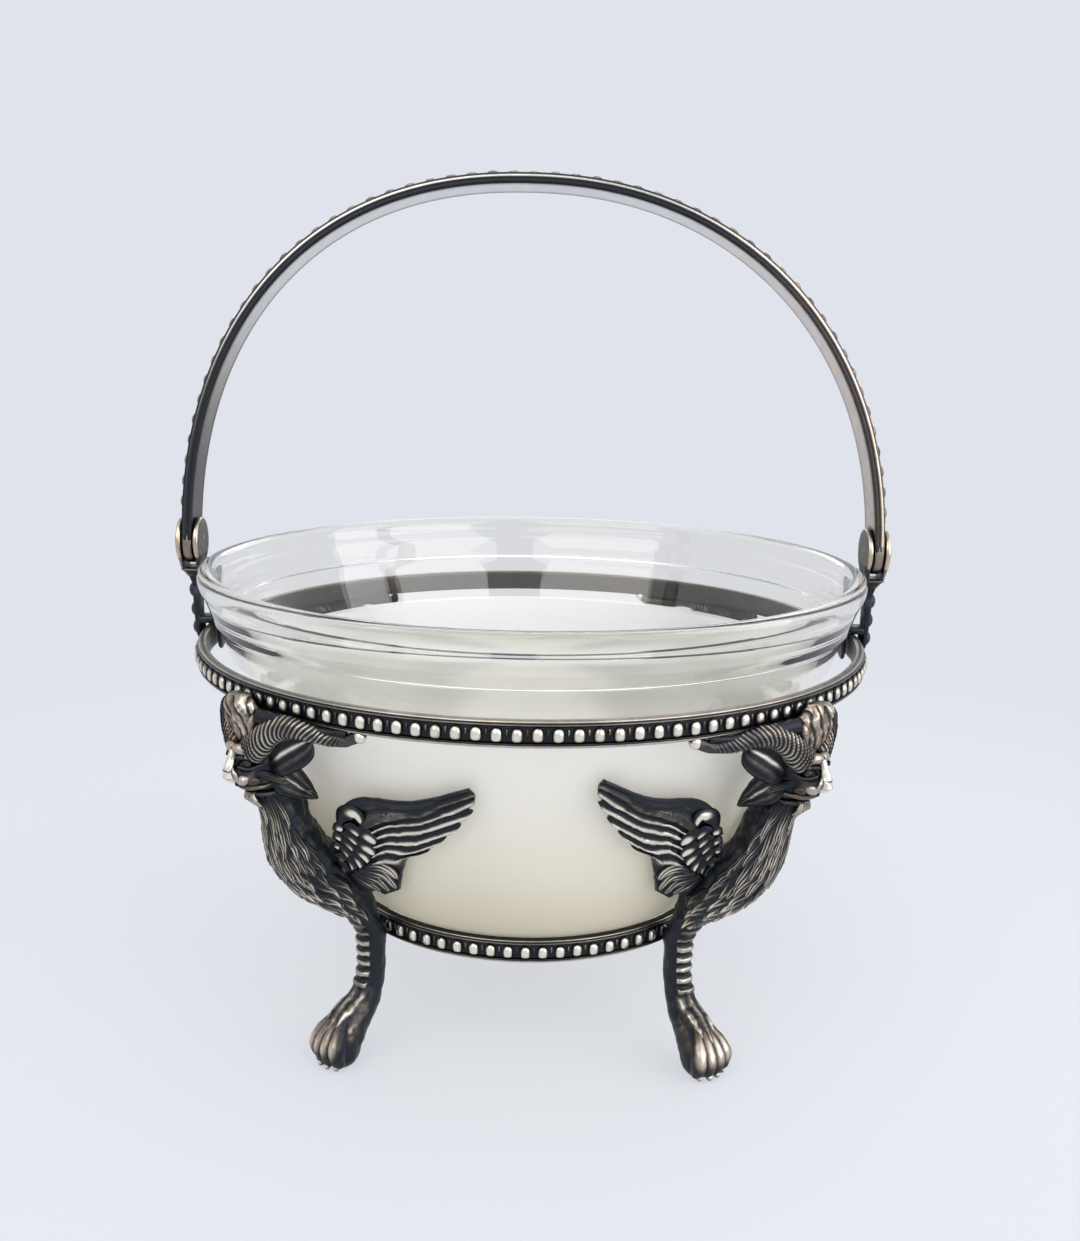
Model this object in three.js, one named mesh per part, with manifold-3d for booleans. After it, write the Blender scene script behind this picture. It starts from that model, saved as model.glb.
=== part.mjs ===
// A glass bowl in a silver frame: two beaded rings, four winged griffin legs with ram's horns, and a
// swing handle. Millimetres, +Z up. The origin is on the floor, on the axis of the bowl, and the
// handle's pivots lie along X.
import * as THREE from "three";
import { mergeVertices } from "three/addons/utils/BufferGeometryUtils.js";
import Module from "manifold-3d";

const wasm = await Module();
wasm.setup();

// Clearances
const SEAT_GAP = 0.3; // between pieces that are soldered together or rest on each other
const RUNNING_GAP = 0.25; // beside the handle's tongues and round the pivot pins

// Rings: one moulded section, swept at two sizes
const LOWER_RING_HEIGHT = 26.3; // the middle of the lower ring above the floor
const RING_BELOW_NECK = 6.5; // from the neck's height down to the middle of the upper ring
const LOWER_RING_BORE = 38.6; // radius
const RING_CLEARANCE = 2.4; // from the bowl's neck to the upper ring's bore
const RING_TALL = 4.8;
const RING_DEPTH = 2;
const GROOVE_TALL = 3.1;
const GROOVE_DEPTH = 1.05;
const RING_EASE = 0.3; // the small bevels and steps of the mouldings

// Beading: strips of cast drops that lie in the rings' grooves and along the handle
const UPPER_BEADS = 128;
const LOWER_BEADS = 74;
const STRIP_THICKNESS = 0.35;
const STRIP_WIDTH = 2.4;
const DROP_WIDTH = 1.8;
const DROP_TALL = 2.25;
const DROP_RISE = 0.95;

// Glass bowl
const NECK_RADIUS = 66;
const NECK_HEIGHT = 86.5; // where the collar's foot stands on the neck
const COLLAR_STEP = 0.9; // the collar's foot stands out from the neck
const COLLAR_FLARE = 3.1; // from the collar's foot to the widest part of the rim
const COLLAR_TALL = 10.7; // from the neck's height to the top of the lip
const RIM_ROUND = 1.6;
const LIP_THICKNESS = 3.7;
const GLASS_WALL = 3.2;
const BASE_INSET = 4.4; // from the seat in the lower ring to the flat base
const BASE_DROP = 3.6;
const FLOOR_THICKNESS = 4.2;

// Handle
const HANDLE_LEAN = 7; // degrees back from upright, as it stands at rest
const HANDLE_FOLD = 101; // degrees from upright to where the strap meets the fork, on either side
const PIVOT_ABOVE_RIM = 3.2;
const HANDLE_RISE = 76.7; // from the pivots to the top of the strap
const HANDLE_SQUARENESS = 2.2; // 2 is an ellipse
const HANDLE_SKEW = 2.6; // how far the top of the hand-bent arch leans to the left
const HANDLE_WIDTH = 9.5;
const STRAP_THICKNESS = 2.1;
const EDGE_GROOVE_WIDTH = 0.5;
const EDGE_GROOVE_DEPTH = 0.3;
const HANDLE_BEADS = 53;
const HANDLE_BEADING_START = 6.2; // along the strap from the pivot
const HANDLE_STRIP_WIDTH = 4.4;
const HANDLE_DROP_SIZE = 3.5;
const HANDLE_DROP_RISE = 0.9;

// Brackets and pivot pins
const RIM_CLEARANCE = 0.6; // from the rim to the inner cheeks
const INNER_CHEEK = 1.1;
const OUTER_CHEEK = 1.05;
const HEAD_OVER_TONGUE = 0.15; // how much wider the fork's cheeks are than the tongue
const PIN_RADIUS = 1.4;
const PIN_HEAD_RADIUS = 2.2;
const PIN_HEAD_THICKNESS = 0.45;
const ARM_WIDTH = 4.6;
const ARM_THICKNESS = 1.7;
const ARM_BEADS = 3;
const ARM_BEAD_PITCH = 4.1;
const ARM_TOP_WIDTH = 3.7;
const ARM_INSET = 2.4; // from the fork's outside to the arm's outside
const ARM_LEAN = 0.8; // how much further out the arm stands at its top than at its foot
const ARM_OVERLAP = 3; // how far the arm reaches down over the ring
const NECK_DROP = 1.95; // from the pivots to the fork's narrow neck, in tongue radii
const HEAD_TAPER = 0.8; // the width where the head starts to narrow, as a share of its diameter
const SADDLE_THICKNESS = 1.4;
const FOOT_THICKNESS = 1;
const FOOT_DROP = 5.6; // how far the foot reaches down inside the ring

// Griffin legs
const LEGS = {
  front_left: { azimuth: 225, twist: 0 },
  front_right: { azimuth: 315, twist: -10 }, // bent in use: the breast and the paw turn to the front
  back_left: { azimuth: 135, twist: 0 },
  back_right: { azimuth: 45, twist: 0 },
};
const TWIST_FULL = 0.3; // the levels where a bent leg's turn is complete and where it ends
const TWIST_END = 0.66;
const RAISED_WING = "wing_front_right_cw"; // soldered with its tip higher than the others
const TIP_RAISE = 0.042; // in levels
const TIP_PULL = 0.07; // how much shorter the raised wing reaches, as a share
const HORN_ROOT_RADIUS = 2.3;
const HORN_TIP_RADIUS = 1.1;
const HORN_RIDGE = 0.12; // how much every second ring of the horn swells
const WING_STANDOFF = 1.8; // from the glass to the back of a wing
const WING_THICKNESS = 1.2;
const FEATHER_RIDGE = 0.5;

// Sizes that follow
const UPPER_RING_HEIGHT = NECK_HEIGHT - RING_BELOW_NECK;
const RIM_HEIGHT = NECK_HEIGHT + COLLAR_TALL;
const UPPER_RING_BORE = NECK_RADIUS + RING_CLEARANCE;
const RIM_RADIUS = NECK_RADIUS + COLLAR_STEP + COLLAR_FLARE;
const RING_TOP = UPPER_RING_HEIGHT + RING_TALL / 2;
const PIVOT_HEIGHT = RIM_HEIGHT + PIVOT_ABOVE_RIM;
const CHEEK_IN = RIM_RADIUS + RIM_CLEARANCE;
const STRAP_IN = CHEEK_IN + INNER_CHEEK + RUNNING_GAP;
const STRAP_OUT = STRAP_IN + STRAP_THICKNESS;
const CHEEK_OUT = STRAP_OUT + RUNNING_GAP + OUTER_CHEEK;
const TONGUE_RADIUS = HANDLE_WIDTH / 2;
const HEAD_RADIUS = TONGUE_RADIUS + HEAD_OVER_TONGUE;
const SEAT_RADIUS = LOWER_RING_BORE - SEAT_GAP;
const SEAT_HEIGHT = LOWER_RING_HEIGHT + RING_TALL / 2;

// Segment counts
const GLASS_SEGMENTS = 32;
const UPPER_SEGMENTS = 40;
const LOWER_SEGMENTS = 32;
const STRAP_STEPS = 26;
const ROUND_SEGMENTS = 14;
const BEAD_SIDES = 4;
const TURN = 2 * Math.PI;
const MERGE_TOLERANCE = 1e-4;
const UP = new THREE.Vector3(0, 0, 1);
const radians = THREE.MathUtils.degToRad;

// Solids and meshes

function toSolid(geometry) {
  const bare = geometry.clone();
  bare.deleteAttribute("normal");
  bare.deleteAttribute("uv");
  const merged = mergeVertices(bare, MERGE_TOLERANCE);
  const vertProperties = merged.attributes.position.array;
  const triVerts = new Uint32Array(merged.index.array);
  return new wasm.Manifold(new wasm.Mesh({ numProp: 3, vertProperties, triVerts }));
}

function toGeometry(solid) {
  const { vertProperties, triVerts } = solid.getMesh();
  const geometry = new THREE.BufferGeometry();
  geometry.setAttribute("position", new THREE.BufferAttribute(vertProperties, 3));
  geometry.setIndex(new THREE.BufferAttribute(triVerts, 1));
  return geometry;
}

const BRIGHT = 0xd8cfb8;
const SMOOTH = 0x8e8a84;
const DARKENED = 0x6a655d;
const OXIDISED = 0x5a5650;
const POLISHED = 0.3; // roughnesses
const SATIN = 0.38;

function silver(color, roughness) {
  return new THREE.MeshStandardMaterial({ color, roughness, metalness: 1 });
}

function glass() {
  const look = { color: 0xe9e6dc, roughness: 0.35, metalness: 0, transparent: true, opacity: 0.6 };
  return new THREE.MeshStandardMaterial(look);
}

function piece(name, geometry, material) {
  const mesh = new THREE.Mesh(geometry, material);
  mesh.name = name;
  return mesh;
}

function indexed(points, faces) {
  const geometry = new THREE.BufferGeometry();
  const positions = points.flatMap((point) => point.toArray());
  geometry.setAttribute("position", new THREE.Float32BufferAttribute(positions, 3));
  geometry.setIndex(faces);
  return geometry;
}

// A closed skin through rings of equally many points, anticlockwise as seen from the last ring.
function loft(rings) {
  const sides = rings[0].length;
  const faces = [];
  const last = (rings.length - 1) * sides;
  for (let ring = 0; ring < last; ring += sides) {
    for (let side = 0; side < sides; side += 1) {
      const next = (side + 1) % sides;
      faces.push(ring + side, ring + next, ring + sides + next);
      faces.push(ring + side, ring + sides + next, ring + sides + side);
    }
  }
  for (let side = 1; side + 1 < sides; side += 1) {
    faces.push(0, side + 1, side, last, last + side, last + side + 1);
  }
  return indexed(rings.flat(), faces);
}

// A profile of [radius, height] turned about Z. It closes on itself or starts and ends on the axis.
function revolve(profile, segments) {
  const points = profile.map(([radius, height]) => new THREE.Vector2(radius, height));
  return new THREE.LatheGeometry(points, segments).rotateX(Math.PI / 2);
}

function discAlongX(radius, from, to, height) {
  const disc = new THREE.CylinderGeometry(radius, radius, to - from, ROUND_SEGMENTS);
  return disc.rotateZ(Math.PI / 2).translate((from + to) / 2, 0, height);
}

function block(x0, x1, width, z0, z1) {
  const box = new THREE.BoxGeometry(x1 - x0, width, z1 - z0);
  return box.translate((x0 + x1) / 2, 0, (z0 + z1) / 2);
}

// Glass bowl

const SIDE_START = new THREE.Vector2(5.6, -0.2); // handles of the curve from the seat to the neck
const SIDE_END = new THREE.Vector2(-0.4, -4.5);
const bowlSide = new THREE.CubicBezierCurve(
  new THREE.Vector2(SEAT_RADIUS, SEAT_HEIGHT),
  new THREE.Vector2(SEAT_RADIUS, SEAT_HEIGHT).add(SIDE_START),
  new THREE.Vector2(NECK_RADIUS, NECK_HEIGHT).add(SIDE_END),
  new THREE.Vector2(NECK_RADIUS, NECK_HEIGHT),
);

const HALVINGS = 30;

function bowlRadius(height) {
  let low = 0;
  let high = 1;
  for (let halving = 0; halving < HALVINGS; halving += 1) {
    const middle = (low + high) / 2;
    if (bowlSide.getPoint(middle).y < height) low = middle;
    else high = middle;
  }
  return bowlSide.getPoint(low).x;
}

const OUTSIDE_STEPS = 6;
const INSIDE_STEPS = 3;

function glassBowl() {
  const outside = bowlSide.getPoints(OUTSIDE_STEPS).map(({ x, y }) => [x, y]);
  const inside = bowlSide
    .getPoints(INSIDE_STEPS)
    .reverse()
    .map(({ x, y }) => [x - GLASS_WALL, y]);
  const baseHeight = SEAT_HEIGHT - BASE_DROP;
  const floorHeight = baseHeight + FLOOR_THICKNESS;
  inside.pop();
  return revolve(
    [
      [0, baseHeight],
      [SEAT_RADIUS - BASE_INSET, baseHeight],
      ...outside,
      [NECK_RADIUS + COLLAR_STEP, NECK_HEIGHT],
      [RIM_RADIUS, RIM_HEIGHT - RIM_ROUND],
      [RIM_RADIUS - RIM_ROUND / 2, RIM_HEIGHT - RIM_ROUND / 4],
      [RIM_RADIUS - LIP_THICKNESS / 2, RIM_HEIGHT],
      [RIM_RADIUS - LIP_THICKNESS, RIM_HEIGHT - RIM_ROUND],
      ...inside,
      [SEAT_RADIUS - BASE_INSET, floorHeight],
      [0, floorHeight],
    ],
    GLASS_SEGMENTS,
  );
}

// Rings

function ring(bore, height, segments) {
  const low = height - RING_TALL / 2;
  const high = height + RING_TALL / 2;
  const outer = bore + RING_DEPTH;
  const profile = [
    [bore, low],
    [outer - RING_EASE, low],
    [outer, low + RING_EASE],
    [outer, height - GROOVE_TALL / 2],
    [outer - GROOVE_DEPTH, height - GROOVE_TALL / 2],
    [outer - GROOVE_DEPTH, height + GROOVE_TALL / 2],
    [outer, height + GROOVE_TALL / 2],
    [outer - RING_EASE, high - RING_EASE / 2],
    [outer - 2 * RING_EASE, high],
    [bore, high],
    [bore, low],
  ];
  return revolve(profile, segments);
}

// Beading

// A strip with one faceted drop in each cell. A station is the frame at a cell's edge: a point on the
// strip's face, the direction out of the face, and the direction across it.
function beadStrip(stations, closed, stripWidth, drop) {
  const points = [];
  const faces = [];
  const { sides, width, tall, rise } = drop;
  const cells = closed ? stations.length : stations.length - 1;
  for (const { origin, out, across } of stations) {
    const low = origin.clone().addScaledVector(across, -stripWidth / 2);
    const high = origin.clone().addScaledVector(across, stripWidth / 2);
    points.push(low, high);
    points.push(low.clone().addScaledVector(out, -STRIP_THICKNESS));
    points.push(high.clone().addScaledVector(out, -STRIP_THICKNESS));
  }
  const base = Array.from({ length: sides }, (_, side) => {
    const angle = (side / sides) * TURN - Math.PI / 2;
    return new THREE.Vector2((Math.cos(angle) * width) / 2, (Math.sin(angle) * tall) / 2);
  });
  const frame = [[-1, -1], [1, -1], [1, 1], [-1, 1]].map(
    ([x, y]) => new THREE.Vector2(x * width, (y * stripWidth) / 2),
  );
  const plate = THREE.ShapeUtils.triangulateShape(frame, [base]);
  for (let cell = 0; cell < cells; cell += 1) {
    const here = stations[cell];
    const next = stations[(cell + 1) % stations.length];
    const origin = here.origin.clone().lerp(next.origin, 0.5);
    const out = here.out.clone().lerp(next.out, 0.5).normalize();
    const across = here.across.clone().lerp(next.across, 0.5).normalize();
    const along = across.clone().cross(out);
    const place = ({ x, y }, lift) =>
      origin.clone().addScaledVector(along, x).addScaledVector(across, y).addScaledVector(out, lift);
    const first = points.length;
    const apex = first + sides;
    points.push(...base.map((corner) => place(corner, 0)), place(new THREE.Vector2(), rise));
    const a = cell * 4;
    const b = ((cell + 1) % stations.length) * 4;
    const rim = [a, b, b + 1, a + 1, ...base.map((_, side) => first + side)];
    for (const [i, j, k] of plate) faces.push(rim[i], rim[j], rim[k]);
    for (let side = 0; side < sides; side += 1) {
      faces.push(first + side, first + ((side + 1) % sides), apex);
    }
    faces.push(a, a + 2, b + 2, a, b + 2, b);
    faces.push(a + 1, b + 1, b + 3, a + 1, b + 3, a + 3);
    faces.push(a + 2, a + 3, b + 3, a + 2, b + 3, b + 2);
  }
  if (!closed) {
    const end = cells * 4;
    faces.push(0, 1, 3, 0, 3, 2);
    faces.push(end, end + 3, end + 1, end, end + 2, end + 3);
  }
  return indexed(points, faces);
}

function ringBeading(bore, height, count) {
  const face = bore + RING_DEPTH - GROOVE_DEPTH + SEAT_GAP + STRIP_THICKNESS;
  const stations = Array.from({ length: count }, (_, cell) => {
    const angle = (cell / count) * TURN;
    const out = new THREE.Vector3(Math.cos(angle), Math.sin(angle), 0);
    const origin = out.clone().multiplyScalar(face).setZ(height);
    return { origin, out, across: UP };
  });
  const drop = { sides: BEAD_SIDES, width: DROP_WIDTH, tall: DROP_TALL, rise: DROP_RISE };
  return beadStrip(stations, true, STRIP_WIDTH, drop);
}

// Handle, built upright about its pivots

function archPoint(angle, offset) {
  const power = 2 / HANDLE_SQUARENESS;
  const reach = STRAP_OUT + offset;
  const rise = HANDLE_RISE + offset;
  const x = reach * Math.sign(Math.cos(angle)) * Math.abs(Math.cos(angle)) ** power;
  const height = rise * Math.sin(angle) ** power;
  return new THREE.Vector3(x - HANDLE_SKEW * (height / HANDLE_RISE) ** 2, 0, height);
}

const ARCH_SAMPLES = 720;

// Frames at equal steps along the arch, whose face is the strap's outside moved out by an offset.
function archStations(count, start, offset) {
  const angles = Array.from({ length: ARCH_SAMPLES + 1 }, (_, i) => (Math.PI * i) / ARCH_SAMPLES);
  const samples = angles.map((angle) => archPoint(angle, offset));
  const lengths = [0];
  for (let i = 1; i <= ARCH_SAMPLES; i += 1) {
    lengths.push(lengths[i - 1] + samples[i].distanceTo(samples[i - 1]));
  }
  const total = lengths[ARCH_SAMPLES];
  const across = new THREE.Vector3(0, -1, 0);
  return Array.from({ length: count + 1 }, (_, step) => {
    const wanted = start + ((total - 2 * start) * step) / count;
    const after = Math.max(1, lengths.findIndex((length) => length >= wanted - MERGE_TOLERANCE));
    const share = (wanted - lengths[after - 1]) / (lengths[after] - lengths[after - 1]);
    const origin = samples[after - 1].clone().lerp(samples[after], share);
    const level = wanted < MERGE_TOLERANCE || wanted > total - MERGE_TOLERANCE;
    const along = samples[after].clone().sub(samples[after - 1]).normalize();
    const out = level ? new THREE.Vector3(Math.sign(origin.x), 0, 0) : along.cross(across);
    return { origin, out, across };
  });
}

function handleStrap() {
  const half = HANDLE_WIDTH / 2;
  const middle = -STRAP_THICKNESS / 2;
  const section = [
    [-half, -STRAP_THICKNESS],
    [half, -STRAP_THICKNESS],
    [half, middle - EDGE_GROOVE_WIDTH],
    [half - EDGE_GROOVE_DEPTH, middle],
    [half, middle + EDGE_GROOVE_WIDTH],
    [half, 0],
    [-half, 0],
    [-half, middle + EDGE_GROOVE_WIDTH],
    [EDGE_GROOVE_DEPTH - half, middle],
    [-half, middle - EDGE_GROOVE_WIDTH],
  ];
  const rings = archStations(STRAP_STEPS, 0, 0).map(({ origin, out, across }) =>
    section.map(([w, t]) => origin.clone().addScaledVector(across, w).addScaledVector(out, t)),
  );
  let strap = toSolid(loft(rings));
  for (const side of [-1, 1]) {
    const [from, to] = side < 0 ? [-STRAP_OUT, -STRAP_IN] : [STRAP_IN, STRAP_OUT];
    strap = strap.add(toSolid(discAlongX(TONGUE_RADIUS, from, to, 0)));
    const hole = discAlongX(PIN_RADIUS + RUNNING_GAP, from - SEAT_GAP, to + SEAT_GAP, 0);
    strap = strap.subtract(toSolid(hole));
  }
  return toGeometry(strap);
}

function handleBeading() {
  const stations = archStations(HANDLE_BEADS, HANDLE_BEADING_START, SEAT_GAP + STRIP_THICKNESS);
  const size = HANDLE_DROP_SIZE;
  const drop = { sides: BEAD_SIDES, width: size, tall: size, rise: HANDLE_DROP_RISE };
  return beadStrip(stations, false, HANDLE_STRIP_WIDTH, drop);
}

// Brackets and pins, built on the +X side

const HEAD_TAPER_TOP = PIVOT_HEIGHT - TONGUE_RADIUS / 2;
const HEAD_TAPER_BOTTOM = PIVOT_HEIGHT - NECK_DROP * TONGUE_RADIUS;
const ARM_TOP_OUT = CHEEK_OUT - ARM_INSET;
const ARM_BOTTOM = RING_TOP - ARM_OVERLAP;
const ARM_IN = UPPER_RING_BORE + RING_DEPTH + DROP_RISE;
const FOOT_IN = NECK_RADIUS + COLLAR_STEP;

function rectangleAt(x0, x1, width, height) {
  const half = width / 2;
  return [
    new THREE.Vector3(x0, -half, height),
    new THREE.Vector3(x1, -half, height),
    new THREE.Vector3(x1, half, height),
    new THREE.Vector3(x0, half, height),
  ];
}

function bracket() {
  const tapered = loft([
    rectangleAt(ARM_TOP_OUT - ARM_THICKNESS, ARM_TOP_OUT, ARM_TOP_WIDTH, HEAD_TAPER_BOTTOM),
    rectangleAt(CHEEK_IN, CHEEK_OUT, 2 * HEAD_RADIUS * HEAD_TAPER, HEAD_TAPER_TOP),
  ]);
  const arm = loft([
    rectangleAt(ARM_IN, ARM_TOP_OUT - ARM_LEAN, ARM_WIDTH, ARM_BOTTOM),
    rectangleAt(ARM_IN, ARM_TOP_OUT - ARM_LEAN / 2, ARM_WIDTH, RING_TOP + SADDLE_THICKNESS),
    rectangleAt(ARM_TOP_OUT - ARM_THICKNESS, ARM_TOP_OUT, ARM_TOP_WIDTH, HEAD_TAPER_BOTTOM + SEAT_GAP),
  ]);
  const saddleTop = RING_TOP + SEAT_GAP + SADDLE_THICKNESS;
  let solid = toSolid(discAlongX(HEAD_RADIUS, CHEEK_IN, CHEEK_OUT, PIVOT_HEIGHT))
    .add(toSolid(tapered))
    .add(toSolid(arm))
    .add(toSolid(block(FOOT_IN, ARM_IN + ARM_THICKNESS / 2, ARM_WIDTH, RING_TOP + SEAT_GAP, saddleTop)))
    .add(toSolid(block(FOOT_IN, FOOT_IN + FOOT_THICKNESS, ARM_WIDTH, RING_TOP - FOOT_DROP, saddleTop)));
  const highest = HEAD_TAPER_BOTTOM - HANDLE_DROP_SIZE / 3;
  for (let bead = 0; bead < ARM_BEADS; bead += 1) {
    const dome = new THREE.SphereGeometry(HANDLE_DROP_SIZE / 2, BEAD_SIDES, BEAD_SIDES / 2);
    const out = ARM_TOP_OUT - (ARM_LEAN * bead) / ARM_BEADS;
    solid = solid.add(toSolid(dome.translate(out, 0, highest - bead * ARM_BEAD_PITCH)));
  }
  const slotRadius = TONGUE_RADIUS + RUNNING_GAP + HEAD_OVER_TONGUE;
  const slotIn = STRAP_IN - RUNNING_GAP;
  const slotOut = STRAP_OUT + RUNNING_GAP;
  const holeRadius = PIN_RADIUS + RUNNING_GAP;
  const pinHole = discAlongX(holeRadius, CHEEK_IN - SEAT_GAP, CHEEK_OUT + SEAT_GAP, PIVOT_HEIGHT);
  const slot = discAlongX(slotRadius, slotIn, slotOut, PIVOT_HEIGHT);
  solid = solid.subtract(toSolid(slot)).subtract(toSolid(pinHole));
  for (const side of [-1, 1]) {
    const folded = block(slotIn, slotOut, 2 * slotRadius, 0, HANDLE_WIDTH);
    folded.rotateX(side * radians(HANDLE_FOLD)).translate(0, 0, PIVOT_HEIGHT);
    solid = solid.subtract(toSolid(folded));
  }
  return toGeometry(solid);
}

function pivotPin() {
  const headIn = CHEEK_OUT + SEAT_GAP;
  const shank = discAlongX(PIN_RADIUS, CHEEK_IN, headIn + PIN_HEAD_THICKNESS / 2, PIVOT_HEIGHT);
  const head = discAlongX(PIN_HEAD_RADIUS, headIn, headIn + PIN_HEAD_THICKNESS, PIVOT_HEIGHT);
  return toGeometry(toSolid(shank).add(toSolid(head)));
}

// Griffin legs, built with the leg's plane along +X. Level is -1 on the floor, 0 at the lower ring
// and 1 at the upper ring. Offset is measured outwards from the line between the rings' faces.

function legPoint(offset, side, level) {
  const lower = LOWER_RING_BORE + RING_DEPTH;
  const upper = UPPER_RING_BORE + RING_DEPTH;
  const above = Math.max(level, 0);
  const step = UPPER_RING_HEIGHT - LOWER_RING_HEIGHT;
  const height = LOWER_RING_HEIGHT + level * (level < 0 ? LOWER_RING_HEIGHT : step);
  return new THREE.Vector3(THREE.MathUtils.lerp(lower, upper, above) + offset, side, height);
}

// From the sole to the crown: front offset and level, back offset and level, half width.
const BODY = [
  [15.4, -1, 9.6, -1, 2.9],
  [17, -0.94, 8.4, -0.95, 4],
  [17.6, -0.77, 7.4, -0.87, 4.4],
  [13.5, -0.59, 5, -0.73, 3.8],
  [8.5, -0.47, 2.6, -0.6, 2.8],
  [6.6, -0.31, 1.1, -0.36, 2.6],
  [6.6, -0.08, 0.9, -0.1, 2.8],
  [7, 0.08, 0.6, 0.07, 3.5],
  [10.8, 0.16, -1, 0.22, 4.6],
  [14, 0.25, -0.6, 0.34, 5.2],
  [15.2, 0.36, 0.8, 0.41, 5.2],
  [13.9, 0.46, 3.1, 0.46, 4.6],
  [11.6, 0.56, 3.3, 0.55, 3.4],
  [10.6, 0.66, 2.4, 0.64, 3],
  [12.6, 0.705, 0.9, 0.69, 3],
  [13.4, 0.745, -0.8, 0.76, 3.4],
  [9.2, 0.8, -2, 0.82, 4],
  [8.2, 0.86, -2.2, 0.88, 4.4],
  [6.6, 0.93, -0.4, 0.93, 4.2],
  [5.4, 0.99, 1.1, 0.99, 3.1],
  [3.7, 1.04, 0.5, 1.04, 1.5],
];
const BODY_SIDES = 8;

function griffinBody(growth) {
  const rings = BODY.map(([frontOffset, frontLevel, backOffset, backLevel, halfWidth]) => {
    const front = legPoint(frontOffset + growth, 0, frontLevel);
    const back = legPoint(backOffset - growth, 0, backLevel);
    const centre = front.clone().lerp(back, 0.5);
    const forward = front.sub(centre);
    return Array.from({ length: BODY_SIDES }, (_, side) => {
      const angle = ((side + 0.5) / BODY_SIDES) * TURN;
      const point = centre.clone().addScaledVector(forward, Math.cos(angle) / Math.cos(Math.PI / BODY_SIDES));
      return point.setY((Math.sin(angle) * (halfWidth + growth)) / Math.cos(Math.PI / BODY_SIDES));
    });
  });
  return toSolid(loft(rings));
}

// Offset, side and level along a horn, from its root on the brow to its tip under the ring.
const HORN = [
  [5.8, 3.4, 0.845],
  [4.2, 6.8, 0.915],
  [2.6, 10.4, 0.948],
  [1.3, 14.2, 0.952],
  [0, 17.8, 0.935],
  [-1.9, 21.2, 0.931],
  [-4, 24.8, 0.951],
];
const HORN_STEPS = 6;
const HORN_SIDES = 4;

function horn(side) {
  const path = HORN.map(([offset, across, level]) => legPoint(offset, side * across, level));
  const curve = new THREE.CatmullRomCurve3(path);
  const { normals, binormals } = curve.computeFrenetFrames(HORN_STEPS, false);
  const rings = normals.map((normal, step) => {
    const share = step / HORN_STEPS;
    const ridge = 1 + HORN_RIDGE * (step % 2);
    const radius = THREE.MathUtils.lerp(HORN_ROOT_RADIUS, HORN_TIP_RADIUS, share) * ridge;
    return Array.from({ length: HORN_SIDES }, (_, corner) => {
      const angle = (corner / HORN_SIDES) * TURN;
      return curve
        .getPointAt(share)
        .addScaledVector(normal, Math.cos(angle) * radius)
        .addScaledVector(binormals[step], Math.sin(angle) * radius);
    });
  });
  return toSolid(loft(rings));
}

// The ears and the tufts below them: flat leaves from a root to a tip, each given as offset, side and
// level, with the share of the full width at each share of the length.
const EAR = {
  root: [5.5, 3, 0.77],
  tip: [-1.2, 11, 0.88],
  width: 6.4,
  thickness: 2,
  outline: [[0, 0.6], [0.55, 1], [1, 0.45]],
};
const TUFT = {
  root: [5.5, 2.4, 0.735],
  tip: [1, 4.6, 0.615],
  width: 4.8,
  thickness: 1.8,
  outline: [[0, 0.6], [0.4, 1], [1, 0.15]],
};
const LEAF_CORNERS = [[1, 0], [0, 1], [-1, 0], [0, -1]];

function leaf({ root, tip, width, thickness, outline }, side) {
  const start = legPoint(root[0], side * root[1], root[2]);
  const along = legPoint(tip[0], side * tip[1], tip[2]).sub(start);
  const wide = UP.clone().cross(along).normalize().cross(along).normalize();
  const thick = along.clone().normalize().cross(wide);
  const rings = outline.map(([share, fullness]) =>
    LEAF_CORNERS.map(([w, t]) =>
      start
        .clone()
        .addScaledVector(along, share)
        .addScaledVector(wide, (w * width * fullness) / 2)
        .addScaledVector(thick, (t * thickness * fullness) / 2),
    ),
  );
  return toSolid(loft(rings));
}

// Toes spread across the front of the paw, each with its knuckle.
const TOES = 4;
const TOE_PITCH = 2.3;
const TOE_RADIUS = 1.4;
const TOE_LENGTH = 3.9;
const TOE_TALL = 3.2;
const TOE_OFFSET = 14.3; // of the middle toes
const TOE_CURVE = 0.35; // how far the outer toes stand back, for each millimetre to the side
const TOE_RAISE = 0.95; // the height of a toe's middle, as a share of its half height

function toe(index) {
  const side = (index - (TOES - 1) / 2) * TOE_PITCH;
  const { x } = legPoint(TOE_OFFSET - Math.abs(side) * TOE_CURVE, side, -1);
  const ball = new THREE.SphereGeometry(1, BEAD_SIDES + 1, BEAD_SIDES - 1).rotateX(Math.PI / 2);
  return toSolid(ball.scale(TOE_LENGTH, TOE_RADIUS, TOE_TALL).translate(x, side, TOE_TALL * TOE_RAISE));
}

function clearedRing(bore, height, segments) {
  const low = height - RING_TALL / 2 - SEAT_GAP;
  const high = height + RING_TALL / 2 + SEAT_GAP;
  const inner = bore - SEAT_GAP;
  const outer = bore + RING_DEPTH + DROP_RISE;
  return toSolid(
    revolve(
      [
        [inner, low],
        [outer, low],
        [outer, high],
        [inner, high],
        [inner, low],
      ],
      segments,
    ),
  );
}

function clearedBowl() {
  const outside = bowlSide.getPoints(OUTSIDE_STEPS).map(({ x, y }) => [x + SEAT_GAP, y]);
  return toSolid(revolve([[0, SEAT_HEIGHT], ...outside, [0, NECK_HEIGHT]], GLASS_SEGMENTS));
}

const cleared = clearedRing(LOWER_RING_BORE, LOWER_RING_HEIGHT, LOWER_SEGMENTS)
  .add(clearedRing(UPPER_RING_BORE, UPPER_RING_HEIGHT, UPPER_SEGMENTS))
  .add(clearedBowl());

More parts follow.
